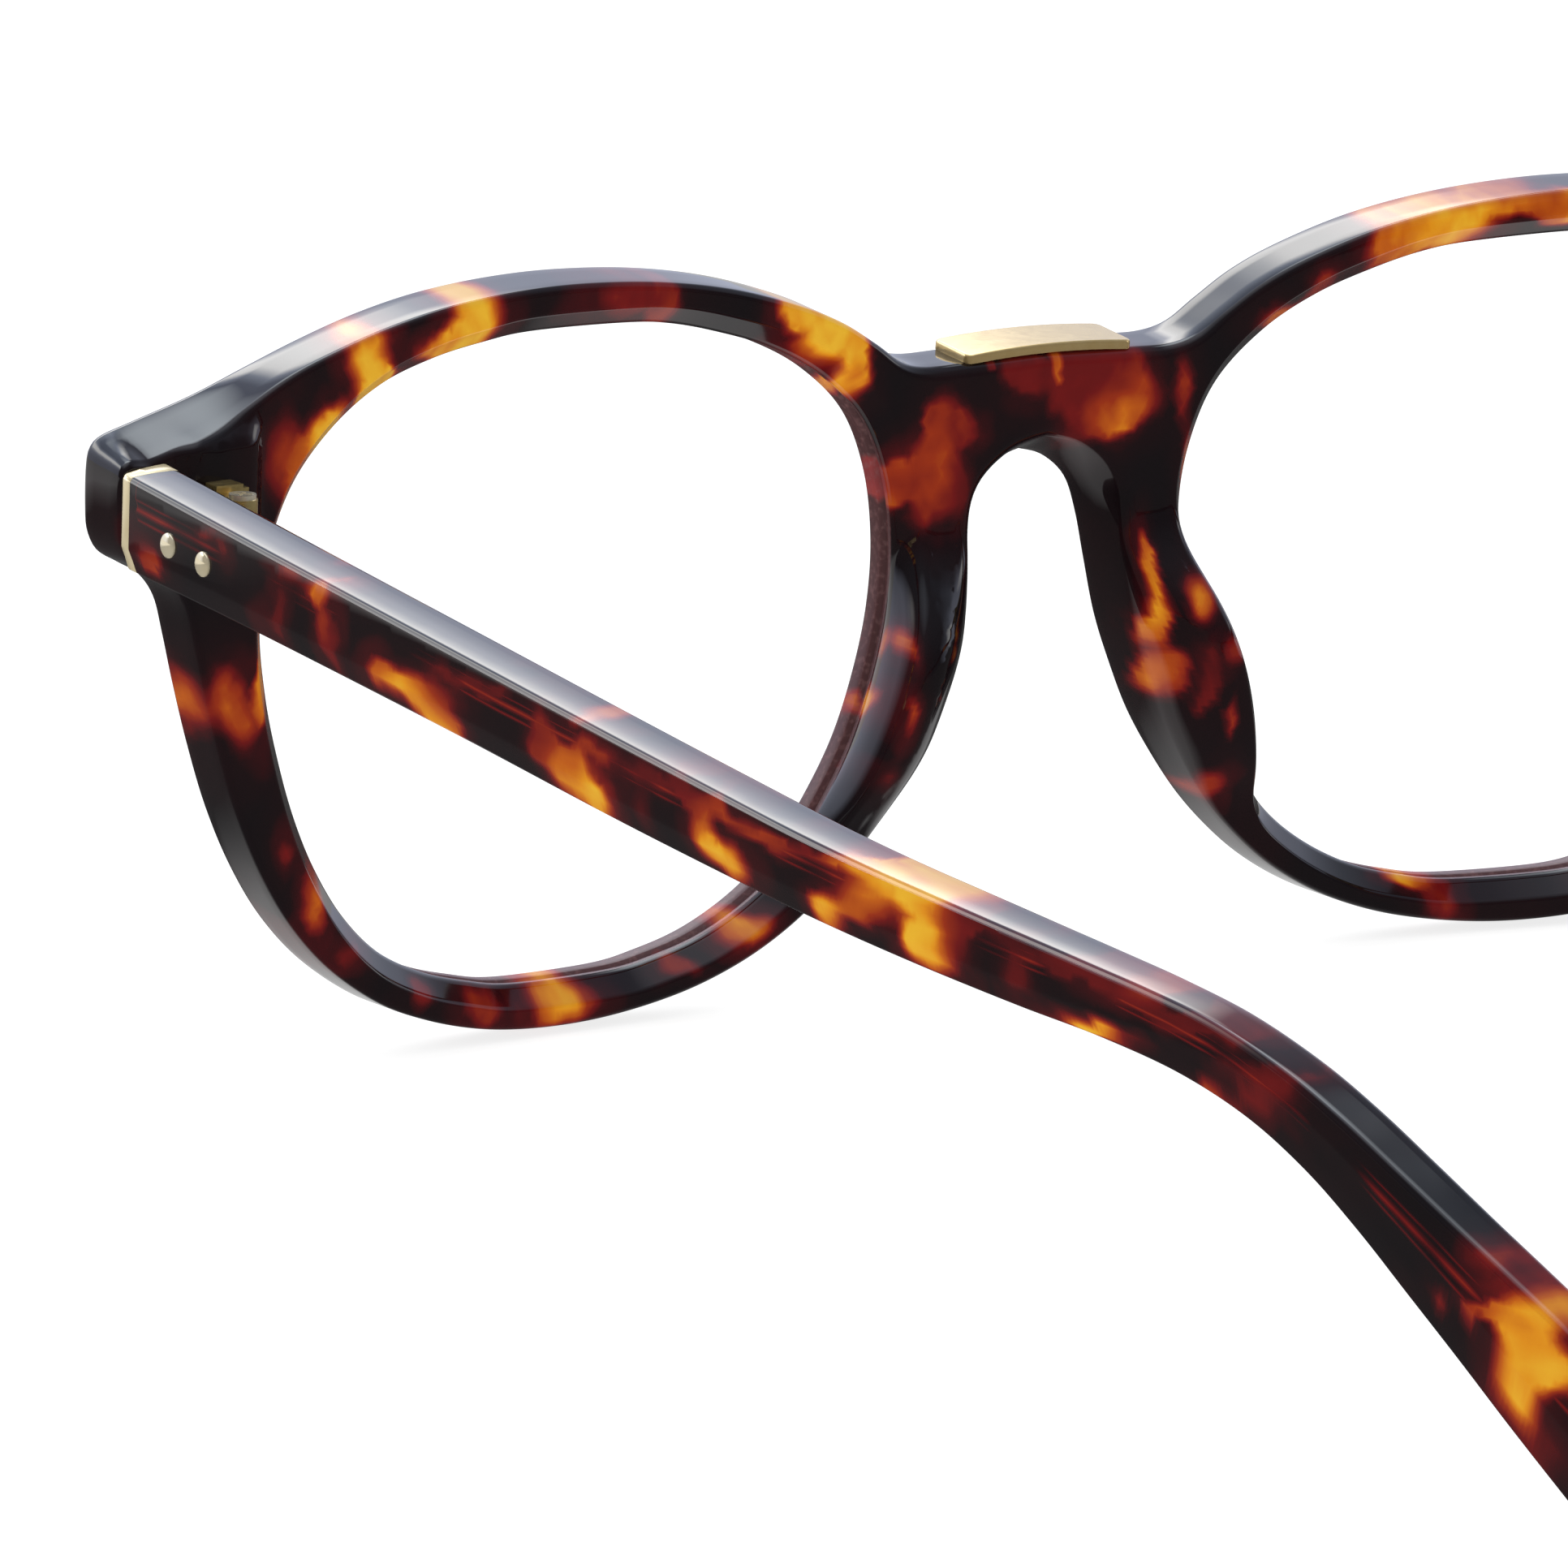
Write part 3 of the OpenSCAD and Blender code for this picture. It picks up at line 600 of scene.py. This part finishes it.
def nose_form(x, d, z):
    """How far a point of the flat front moves sideways and back to make the pads. The nose side of
    the rear face rises to a crest; the lens bevel widens into the far flank and bulges over the lens."""
    nose = table(NOSE_WALL, 1, z) + np.interp(z, *zip(*FLARE)) * np.clip(1 + d / FRONT_T, 0, 1) ** 1.5
    wall = table(LENS_WALL, 1, z)
    edge = wall - LENS_BEVEL - BEVEL_LIP
    back, crest, lens = (table(PAD_FORM, k, z) for k in (1, 2, 3))
    on = (z > -15.6) & (z < 8) & (x < 24)
    blend = smoothstep(-15.6, -12.2, z) * (1 - smoothstep(1, 7.5, z)) * on
    rear = smoothstep(-2.0, -1.7, d)
    v = (x - nose) / (edge - nose)
    rise = (1 - np.clip(1 - v / PAD_CREST, 0, 1) ** 1.8) ** (1 / 1.8)
    turn = .55 * (1 - blend) + .15 * blend
    t = np.where(v < 1, turn * (v - PAD_CREST) / (1 - PAD_CREST),
                 turn + (1 - turn) * (x - edge) / (wall - edge))
    t = np.clip(t, 0, 1)
    full = np.clip(back / 3, 0, 1)
    path = [(crest, back), (crest + (lens - crest) * .9, back), (lens + .3 * full, -.6 + .8 * full),
            (wall, -BEVEL_FOOT - .1)]
    part = (1 - t) ** 3, 3 * t * (1 - t) ** 2, 3 * t ** 2 * (1 - t), t ** 3
    flank_x, flank_y = (sum(w * q[k] for w, q in zip(part, path)) for k in (0, 1))
    inner = v < PAD_CREST
    goal_x = np.where(inner, nose + (crest - nose) * v / PAD_CREST, flank_x)
    goal_y = np.where(inner, back * rise, flank_y)
    flat_y = np.where(inner, 0, d)
    moves = rear * blend * (v > 0) * (x < wall + .01)
    return (goal_x - x) * moves, (goal_y - flat_y) * moves


def front_place(p, d):
    x, z = p[:, 0], p[:, 1]
    y = BASE_R - np.sqrt((BASE_R - d) ** 2 - x ** 2)
    return np.stack([x, y + rear_lift(x, z) * np.clip(1 + d / 2.5, 0, 1), z], 1)


def raise_pads(verts, faces, rounds=30):
    """Move the flat front's vertices into the pads, evening out the move between neighbours."""
    x, y, z = np.asarray(verts).T
    d = BASE_R - np.hypot(BASE_R - y, x)
    side, back = nose_form(np.abs(x), d, z)
    move = np.stack([np.sign(x) * side, back], 1)
    edges = {tuple(sorted((f[k - 1], f[k]))) for f in faces for k in range(len(f))}
    a, b = np.array(sorted(edges)).T
    count = np.bincount(np.concatenate([a, b]), minlength=len(x))
    free = ((d > -1.98) & (np.abs(x) < 24) & (z > -16) & (z < 9))[:, None]
    for _ in range(rounds):
        mean = [(np.bincount(a, move[b, k], len(x)) + np.bincount(b, move[a, k], len(x))) / count
                for k in (0, 1)]
        move = np.where(free, .4 * move + .6 * np.stack(mean, 1), move)
    return np.stack([x + move[:, 0], y + move[:, 1], z], 1)


def arc_rings(radius, depth, sign, steps=5):
    """Quarter round from the face (inset = radius) to the wall (inset 0): inset and depth."""
    angles = [math.pi / 2 * k / steps for k in range(steps + 1)]
    return [(radius * (1 - math.sin(a)), depth + sign * radius * (1 - math.cos(a))) for a in angles]


def build_front():
    half = catmull(FRONT_HALF, False, 12)
    loop = np.vstack([half[:-1], np.stack([-half[:0:-1, 0], half[:0:-1, 1]], 1)])
    loop = resample(loop, OUTLINE_STEP)
    n = outward(loop)
    ax, z = np.abs(loop[:, 0]), loop[:, 1]
    up = np.clip(n[:, 1], 0, 1)
    down = np.clip(-n[:, 1], 0, 1)
    arch = (ax < 9) & (z < 12)
    rear_r = .42 + .35 * up * smoothstep(14, 8, ax) + .1 * down * (~arch) + .15 * arch
    slope = up * (.32 + 1.2 * smoothstep(57.5, 65, ax)) * smoothstep(0.5, .9, up)
    flare = arch * np.interp(z, *zip(*FLARE))
    hold = ((ax < 17) & (n[:, 1] < .3) & (ax > 3)) * nose_hold(z)
    rear_r, slope, flare, hold = soften(rear_r), soften(slope), soften(flare), soften(hold)

    def shift(depth):
        """The top slopes down to the rear and the nose arch opens to the rear."""
        t = np.clip(1 + depth / FRONT_T, 0, 1)
        s = np.zeros((len(loop), 2))
        s[:, 1] = -slope * t
        return s - n * (flare * t ** 1.5)[:, None]
    # Rear face, rear round, wall, front round.
    spans = [(rear_r + .012 * k + spread * hold, .0005 * k)
             for k, spread in ((4, .7), (3, .45), (2, .25), (1, .1))]
    spans += arc_rings(rear_r, 0, -1, 7)
    spans += [(0, -rear_r * (1 - k) + (-FRONT_T + FRONT_ROUND) * k) for k in (.25, .5, .75)]
    spans += arc_rings(FRONT_ROUND, -FRONT_T, 1)[::-1]
    rings = []
    for inset, depth in spans:
        depth = np.broadcast_to(depth, (len(loop),)).astype(float)
        rings.append((inset, depth, shift(depth)))
    loops = [(loop, -n, rings)]
    for side in (1, -1):
        lens = catmull(LENS_SHAPE, True, 12) + (LENS_X, 0)
        if side < 0:
            lens = np.stack([-lens[::-1, 0], lens[::-1, 1]], 1)
        lens = resample(lens, OUTLINE_STEP)
        n = outward(lens)
        nasal = np.clip(-n[:, 0] * side, 0, 1)
        hold = smoothstep(.2, .6, nasal) * nose_hold(lens[:, 1])
        lip = LENS_BEVEL + BEVEL_LIP
        # Inset, depth, matte: lip, bevel, wall with the shallow lens groove, front edge.
        prof = [(lip + .012 * k + spread * hold, 0, 0)
                for k, spread in ((5, .7), (4, .48), (3, .3), (2, .15), (1, .06))]
        prof += [(lip, 0, 0), (LENS_BEVEL + .1, -.015, 0), (LENS_BEVEL, -.07, 0)]
        prof += [(LENS_BEVEL * k, -.07 - (BEVEL_FOOT - .07) * (1 - k), 0)
                 for k in (.9, .8, .7, .6, .5, .4, .3, .2, .12)]
        prof += [(.07, -BEVEL_FOOT, 0), (.02, -BEVEL_FOOT - .1, 0), (0, -1.75, .9), (0, -1.98, 1),
                 (.03, -2.03, 1), (.3, -2.3, 1), (.3, -2.6, 1), (.03, -2.88, 1), (0, -2.93, 1),
                 (0, -3.4, 1), (0, -3.95, 1), (.06, -4.15, .5), (.2, -4.32, 0), (.42, -FRONT_T, 0)]
        loops.append((lens, n, [(a, np.full(len(lens), b), 0.0, c) for a, b, c in prof]))
    verts, flags, faces = slab(loops, front_place)
    return make("front_rim", raise_pads(verts, faces), faces, ACETATE, "front", "acetate",
                ["front_frame", "nose_pad_left", "nose_pad_right"], matte=flags)


def inward(y):
    y = np.asarray(y, float)
    return np.where(y < 80, 0, np.where(y < 94, (y - 80) ** 2 / 280,
                                        .7 + (y - 94) * .1 + np.maximum(y - 112, 0) ** 2 / 800))


def thick(y):
    y = np.asarray(y, float)
    return np.where(y < 100, TEMPLE_T, TEMPLE_T - (y - 100) * .008)


def temple_place(p, d):
    y, z = p[:, 0], p[:, 1]
    return np.stack([TEMPLE_X - inward(y) - d * thick(y) / TEMPLE_T, y, z], 1)


def temple_profile(bev_h, bev_d, edge, inner, crown):
    """From the outer face round an edge to the inner face: inset from the outline, depth."""
    rings = [(bev_h + .12 + crown, 0), (bev_h + crown, .012),
             (bev_h - .1 * np.minimum(1, bev_h) + crown, .04), (bev_h * .5 + edge * .35 + crown, bev_d * .55)]
    for k in range(5):
        a = math.pi / 2 * (.18 + .82 * k / 4)
        rings.append((edge * (1 - math.sin(a)) + crown, bev_d + edge * (1 - math.cos(a))))
    for k in (.1, .2, .32, .45, .6, .8):
        rings.append((crown * (1 - k) ** 2.2, (bev_d + edge) * (1 - k) + (TEMPLE_T - inner) * k))
    for k in range(6):
        a = math.pi / 2 * (1 - k / 5)
        rings.append((inner * (1 - math.sin(a)), TEMPLE_T - inner * (1 - math.cos(a))))
    return rings


def temple_mesh():
    top = catmull(TEMPLE_TOP + TEMPLE_BOTTOM[:2], False, 12)
    k = int(np.argmin(np.hypot(top[:, 0] - TEMPLE_TOP[-1][0], top[:, 1] - TEMPLE_TOP[-1][1])))
    bottom = catmull(TEMPLE_TOP[-2:] + TEMPLE_BOTTOM, False, 12)
    j = int(np.argmin(np.hypot(bottom[:, 0] - TEMPLE_TOP[-1][0], bottom[:, 1] - TEMPLE_TOP[-1][1])))
    path = np.vstack([top[:k], bottom[j:]])
    side = resample(path, ARM_STEP, closed=False)
    butt = resample(np.array([side[-1], side[0]]), ARM_STEP, closed=False)[1:-1]
    loop = np.vstack([side, butt])[::-1]
    is_butt = np.arange(len(loop)) < len(butt)
    n = outward(loop)
    y = loop[:, 0]
    first = (y < 9.2) & ~is_butt
    n[first] = np.stack([np.zeros(first.sum()), np.sign(loop[first, 1] - 12.7)], 1)
    n[is_butt] = 0
    low = (n[:, 1] < 0) & ~is_butt
    tip = smoothstep(154, 161, y)
    bev_h = np.where(low, 1.6 + 2.4 * smoothstep(108, 140, y) * (1 - tip), .32 + .7 * tip)
    bev_d = np.where(low, .55 + .45 * smoothstep(108, 140, y), .05 + .3 * tip)
    crown = np.where(low, 0, .16 * (1 - smoothstep(112, 126, y)))
    away = y > 9.8
    bev_h, bev_d, crown = (np.where(away, soften(a), a) for a in (bev_h, bev_d, crown))
    edge, inner = np.full(len(loop), .34), np.full(len(loop), .62)
    rings = []
    high, foot = loop[is_butt, 1].max() + ARM_STEP, loop[is_butt, 1].min() - ARM_STEP
    for inset, depth in temple_profile(bev_h, bev_d, edge, inner, crown):
        inset = np.broadcast_to(inset, (len(loop),)).copy()
        depth = np.broadcast_to(depth, (len(loop),)).copy()
        up, down = inset[first & ~low].mean(), inset[first & low].mean()
        t = (loop[is_butt, 1] - foot) / (high - foot)
        shift = np.zeros((len(loop), 2))
        shift[is_butt, 1] = down * (1 - t) - up * t
        depth[is_butt] = depth[first & ~low].mean() * t + depth[first & low].mean() * (1 - t)
        inset[is_butt] = 0
        rings.append((inset, depth, shift))
    return slab([(loop, -n, rings)], temple_place)


def cap_mesh():
    """Gold end plate: the temple's own section, its front cut to the curve of the front."""
    top = temple_profile(.32, .05, .34, .62, .16)
    low = temple_profile(1.6, .55, .34, .62, 0)
    rows = []
    for side, shrink in ((0, .06), (.05, .015), (.1, 0), (.9, 0), (.96, .015), (1, .06)):
        ring = []
        for part, sign in ((top, 1), (low[::-1], -1)):
            for a, d in part:
                x = TEMPLE_X - d
                y0 = BASE_R - math.sqrt(BASE_R ** 2 - x ** 2) + .12
                y = y0 + (BUTT_Y - y0) * side
                edge = 15.8 + (BUTT_Y - y) * .103 if sign > 0 else 9.6 + (BUTT_Y - y) * .074
                mid = (12.7 - edge) * sign
                ring.append((x + (TEMPLE_X - TEMPLE_T / 2 - x) * shrink, y,
                             edge - sign * a + sign * shrink * mid))
        rows.append(ring)
    return loft(rows)


def loft(rows):
    v = np.array(rows)
    h, w = v.shape[:2]
    faces = []
    for i in range(h - 1):
        for j in range(w):
            k = (j + 1) % w
            faces.append([i * w + j, i * w + k, (i + 1) * w + k, (i + 1) * w + j])
    faces.append([j for j in range(w)][::-1])
    faces.append([(h - 1) * w + j for j in range(w)])
    return v.reshape(-1, 3), faces


def rivet_mesh(y, z):
    """Domed head on a shank that runs through the temple."""
    profile = ((-4.3, .42), (-4.3, .45), (-.15, .45), (-.12, .74), (0, .78), (.07, .78), (.13, .75),
               (.22, .64), (.28, .48), (.32, .3), (.34, .12), (.345, .03))  # past the outer face, radius
    turn = [t * math.pi / 20 for t in range(40)]
    return loft([[(TEMPLE_X + out, y + r * math.cos(t), z + r * math.sin(t)) for t in turn]
                 for out, r in profile])


def fix_orientation(verts, faces):
    """Faces point outwards: the signed volume is positive."""
    v = np.asarray(verts)
    vol = 0.0
    for f in faces:
        a = v[f[0]]
        for k in range(1, len(f) - 1):
            vol += np.dot(a, np.cross(v[f[k]], v[f[k + 1]]))
    return faces if vol > 0 else [list(f)[::-1] for f in faces]


def both_sides(word, slot, material, mesh, node, **looks):
    """The left piece and its mirror image. word and node take the side's name."""
    v, f = mesh
    f = fix_orientation(v, f)
    for side, (v, f) in (("left", (v, f)), ("right", mirror_x(v, f))):
        make(word % side, v, f, material, "temple_" + side, slot, [node % side], **looks)


build_front()
arm_verts, _, arm_faces = temple_mesh()
both_sides("temple_%s_arm", "acetate", ACETATE, (arm_verts, arm_faces), "temple_arm_%s")
both_sides("end_plate_%s", "gold", CAP_GOLD, cap_mesh(), "temple_cap_%s", angle=40, pattern=False)
for number, rivet_y, rivet_z in RIVETS:
    both_sides(f"rivet_head_%s_{number}", "gold", RIVET_GOLD, rivet_mesh(rivet_y, rivet_z),
               f"rivet_%s_{number}", angle=40, pattern=False)


def plate_mesh():
    """Curved plate with rounded corners and a round along its upper edge."""
    length, width, thickness, corner, tilt = 12.2, 4.1, .6, .55, math.radians(5)
    loop = []
    for cx, cy, start in ((1, 1, 0), (-1, 1, 90), (-1, -1, 180), (1, -1, 270)):
        for a in range(0, 91, 10):
            t = math.radians(start + a)
            loop.append((cx * (length / 2 - corner) + corner * math.cos(t),
                         cy * (width / 2 - corner) + corner * math.sin(t)))
    loop = resample(np.array(loop), .12)
    spans = [(PLATE_ROUND + .05 * k, 0) for k in (3, 1)] + arc_rings(PLATE_ROUND, 0, -1, 6)
    spans += [(0, -thickness + .06), (.02, -thickness + .015), (.06, -thickness)]

    def place(p, d):
        x, y = p[:, 0], p[:, 1]
        z = np.sqrt(PLATE_ARCH ** 2 - x ** 2) - PLATE_ARCH + d
        return np.stack([x, -FRONT_T / 2 + y * math.cos(tilt) + z * math.sin(tilt),
                         PLATE_MIDDLE - y * math.sin(tilt) + z * math.cos(tilt)], 1)
    v, _, f = slab([(loop, -outward(loop), [(*span, 0.0) for span in spans])], place)
    return v, fix_orientation(v, f)


plate_verts, plate_faces = plate_mesh()
make("bridge_inlay_plate", plate_verts, plate_faces, PLATE_GOLD, "front", "gold", ["bridge_plate"],
     angle=50, pattern=False)

# The pins, hinge leaves and screws are shown as they come.
for name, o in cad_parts.items():
    if o.hide_render:
        continue
    mat = PIN_GOLD
    if name.startswith("hinge"):
        mat = SCREW_GOLD if name.startswith("hinge_screw") else HINGE_GOLD
    for slot in o.material_slots:
        slot.material = mat
    if not o.material_slots:
        o.data.materials.append(mat)

# ---------------------------------------------------------------- stage
scene = bpy.context.scene
floor_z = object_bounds()[0][2] - .0002


def separated(nt, vector):
    sep = nt.nodes.new("ShaderNodeSeparateXYZ")
    link(nt, vector, sep.inputs[0])
    return sep.outputs


def emission(nt, colour, strength):
    e = nt.nodes.new("ShaderNodeEmission")
    e.inputs["Color"].default_value = colour
    e.inputs["Strength"].default_value = strength
    return e


def floor_material():
    """White to the eye. In a polished surface it shows two lit strips on a dark ground."""
    m, nt, bsdf = new_material("studio_floor")
    nt.nodes.remove(bsdf)
    white = nt.nodes.new("ShaderNodeBsdfDiffuse")
    white.inputs["Color"].default_value = (.4, .4, .4, 1)
    add = nt.nodes.new("ShaderNodeAddShader")
    link(nt, white.outputs[0], add.inputs[0])
    link(nt, emission(nt, (1, 1, 1, 1), .8).outputs[0], add.inputs[1])
    place = separated(nt, nt.nodes.new("ShaderNodeNewGeometry").outputs["Position"])
    behind = math_node(nt, "MULTIPLY_ADD", place["Y"], -200.0, .4, clamp=True)
    before = math_node(nt, "MULTIPLY_ADD", place["Y"], 90.0, 2.2, clamp=True)
    right = math_node(nt, "MULTIPLY_ADD", place["X"], -60.0, 4.5, clamp=True)
    near = math_node(nt, "MULTIPLY", math_node(nt, "MULTIPLY", behind, before), right)
    far = math_node(nt, "MULTIPLY_ADD", place["Y"], -18.0, -2.2, clamp=True)
    mirrored = nt.nodes.new("ShaderNodeEmission")
    link(nt, math_node(nt, "MULTIPLY_ADD", math_node(nt, "MAXIMUM", near, far), .60, .10),
         mirrored.inputs["Strength"])
    mix = nt.nodes.new("ShaderNodeMixShader")
    link(nt, nt.nodes.new("ShaderNodeLightPath").outputs["Is Glossy Ray"], mix.inputs[0])
    link(nt, add.outputs[0], mix.inputs[1])
    link(nt, mirrored.outputs[0], mix.inputs[2])
    link(nt, mix.outputs[0], nt.nodes["Material Output"].inputs["Surface"])
    m.cycles.emission_sampling = "NONE"
    return m


me = bpy.data.meshes.new("floor")
reach = 4.9
me.from_pydata([(-reach, -reach, floor_z), (reach, -reach, floor_z), (reach, reach, floor_z),
                (-reach, reach, floor_z)], [], [(0, 1, 2, 3)])
me.materials.append(floor_material())
floor = bpy.data.objects.new("floor", me)
scene.collection.objects.link(floor)

world = bpy.data.worlds.new("studio")
scene.world = world
world.use_nodes = True
background = world.node_tree.nodes["Background"]
background.inputs["Color"].default_value = (1, 1, 1, 1)
background.inputs["Strength"].default_value = .65
world.cycles_visibility.glossy = False


def softbox(name, at, wide, high, strength, colour=(1, 1, 1)):
    """Aimed at the front. Lights diffuse surfaces only: gloss shows the studio dome below."""
    light = bpy.data.lights.new(name, "AREA")
    light.shape = "RECTANGLE"
    light.size, light.size_y = wide, high
    light.energy = strength * wide * high * math.pi
    light.color = colour
    o = bpy.data.objects.new(name, light)
    o.location = at
    o.rotation_euler = (Vector((0, .02, 0)) - Vector(at)).to_track_quat("-Z", "Y").to_euler()
    scene.collection.objects.link(o)
    o.visible_camera = o.visible_glossy = False


softbox("back_top", (-.25, -.75, .62), 1.3, .55, 2.2, (.97, .98, 1.0))
softbox("top", (.1, .1, 1.0), .8, .8, .5)
softbox("front_left", (.9, .5, .5), .8, .6, .5)

# What polished surfaces reflect: panels at set heights round the studio, as (degrees up, brightness).
DOME = 5.0
DOME_GAIN = 5.0
DOME_SPAN = 1.25  # range of sines of the heights, from DOME_FOOT below the horizon
DOME_FOOT = .2
BEHIND = [(-12, (.60, .64, .78)), (2, (.72, .77, .95)), (10, (.80, .86, 1.06)), (17, (1.0, 1.08, 1.34)),
          (22, (1.20, 1.30, 1.60)), (27, (2.3, 2.4, 2.7)), (31, (5.0, 5.0, 5.0)), (37, (5.0, 5.0, 5.0)),
          (41, (1.5, 1.7, 2.1)), (45, (.75, .88, 1.15)), (51, (.75, .88, 1.15)), (58, (1.0, 1.15, 1.5)),
          (66, (1.7, 1.85, 2.2)), (90, (1.3, 1.4, 1.6))]
BEYOND = [(-12, (.60, .64, .78)), (2, (.72, .77, .95)), (12, (.80, .86, 1.06)), (22, (.85, .92, 1.15)),
          (32, (.45, .50, .62)), (45, (.24, .28, .36)), (60, (.24, .28, .36)), (68, (1.0, 1.05, 1.2)),
          (90, (1.2, 1.25, 1.4))]
AHEAD = [(-12, (.06, .06, .07)), (12, (.07, .07, .08)), (50, (.16, .17, .20)), (66, (.6, .65, .75)),
         (90, (1.2, 1.25, 1.4))]


def dome_material():
    m, nt, bsdf = new_material("studio_panels")
    nt.nodes.remove(bsdf)
    unit = nt.nodes.new("ShaderNodeVectorMath")
    unit.operation = "NORMALIZE"
    link(nt, nt.nodes.new("ShaderNodeNewGeometry").outputs["Position"], unit.inputs[0])
    ray = unit.outputs["Vector"]
    height = math_node(nt, "MULTIPLY_ADD", separated(nt, ray)["Z"], 1 / DOME_SPAN, DOME_FOOT)

    def panel(stops):
        return ramp(nt, height, [(math.sin(math.radians(up)) / DOME_SPAN + DOME_FOOT,
                                  (*(v / DOME_GAIN for v in colour), 1)) for up, colour in stops])

    def towards(direction, gain, offset):
        """1 where the ray points this way, 0 where it points away."""
        dot = nt.nodes.new("ShaderNodeVectorMath")
        dot.operation = "DOT_PRODUCT"
        link(nt, ray, dot.inputs[0])
        dot.inputs[1].default_value = direction
        return math_node(nt, "MULTIPLY_ADD", dot.outputs["Value"], gain, offset, clamp=True)
    colour = mix_colour(nt, towards((.84, -.54, 0), 9.0, .85), panel(BEYOND), panel(BEHIND))
    colour = mix_colour(nt, towards((-.54, -.84, 0), 3.0, .3), panel(AHEAD), colour)
    # Two soft lamps: one glints on the pads' crests, the other lights the endpiece's top.
    colour = mix_colour(nt, towards((-.925, .332, .181), 90.0, -88.8), colour, (.5, .5, .5, 1))
    colour = mix_colour(nt, towards((-.28, -.42, .863), 22.0, -21.0), colour, (.85, .93, 1, 1))
    glow = emission(nt, (1, 1, 1, 1), DOME_GAIN)
    link(nt, colour, glow.inputs["Color"])
    link(nt, glow.outputs[0], nt.nodes["Material Output"].inputs["Surface"])
    m.cycles.emission_sampling = "NONE"
    return m


bm = bmesh.new()
bmesh.ops.create_uvsphere(bm, u_segments=64, v_segments=32, radius=DOME)
me = bpy.data.meshes.new("dome")
bm.to_mesh(me)
bm.free()
me.materials.append(dome_material())
dome = bpy.data.objects.new("dome", me)
scene.collection.objects.link(dome)
dome.visible_camera = dome.visible_diffuse = dome.visible_shadow = False

cam_data = bpy.data.cameras.new("camera")
cam_data.sensor_width = 36
cam_data.lens = 745.3
cam_data.clip_start, cam_data.clip_end = .05, 50
cam = bpy.data.objects.new("camera", cam_data)
right, up = Vector((-.8421, .5387, .0273)), Vector((-.0889, -.1887, .9780))
ahead = Vector((-.5320, -.8211, -.2068))
aim, distance = Vector((.01876, 0, -.00972)), 2.0
view = Matrix((right, up, -ahead)).transposed().to_4x4()
view.translation = aim - ahead * distance
cam.matrix_world = view
scene.collection.objects.link(cam)
scene.camera = cam
scene.view_settings.view_transform = "Standard"
scene.cycles.max_bounces = 10
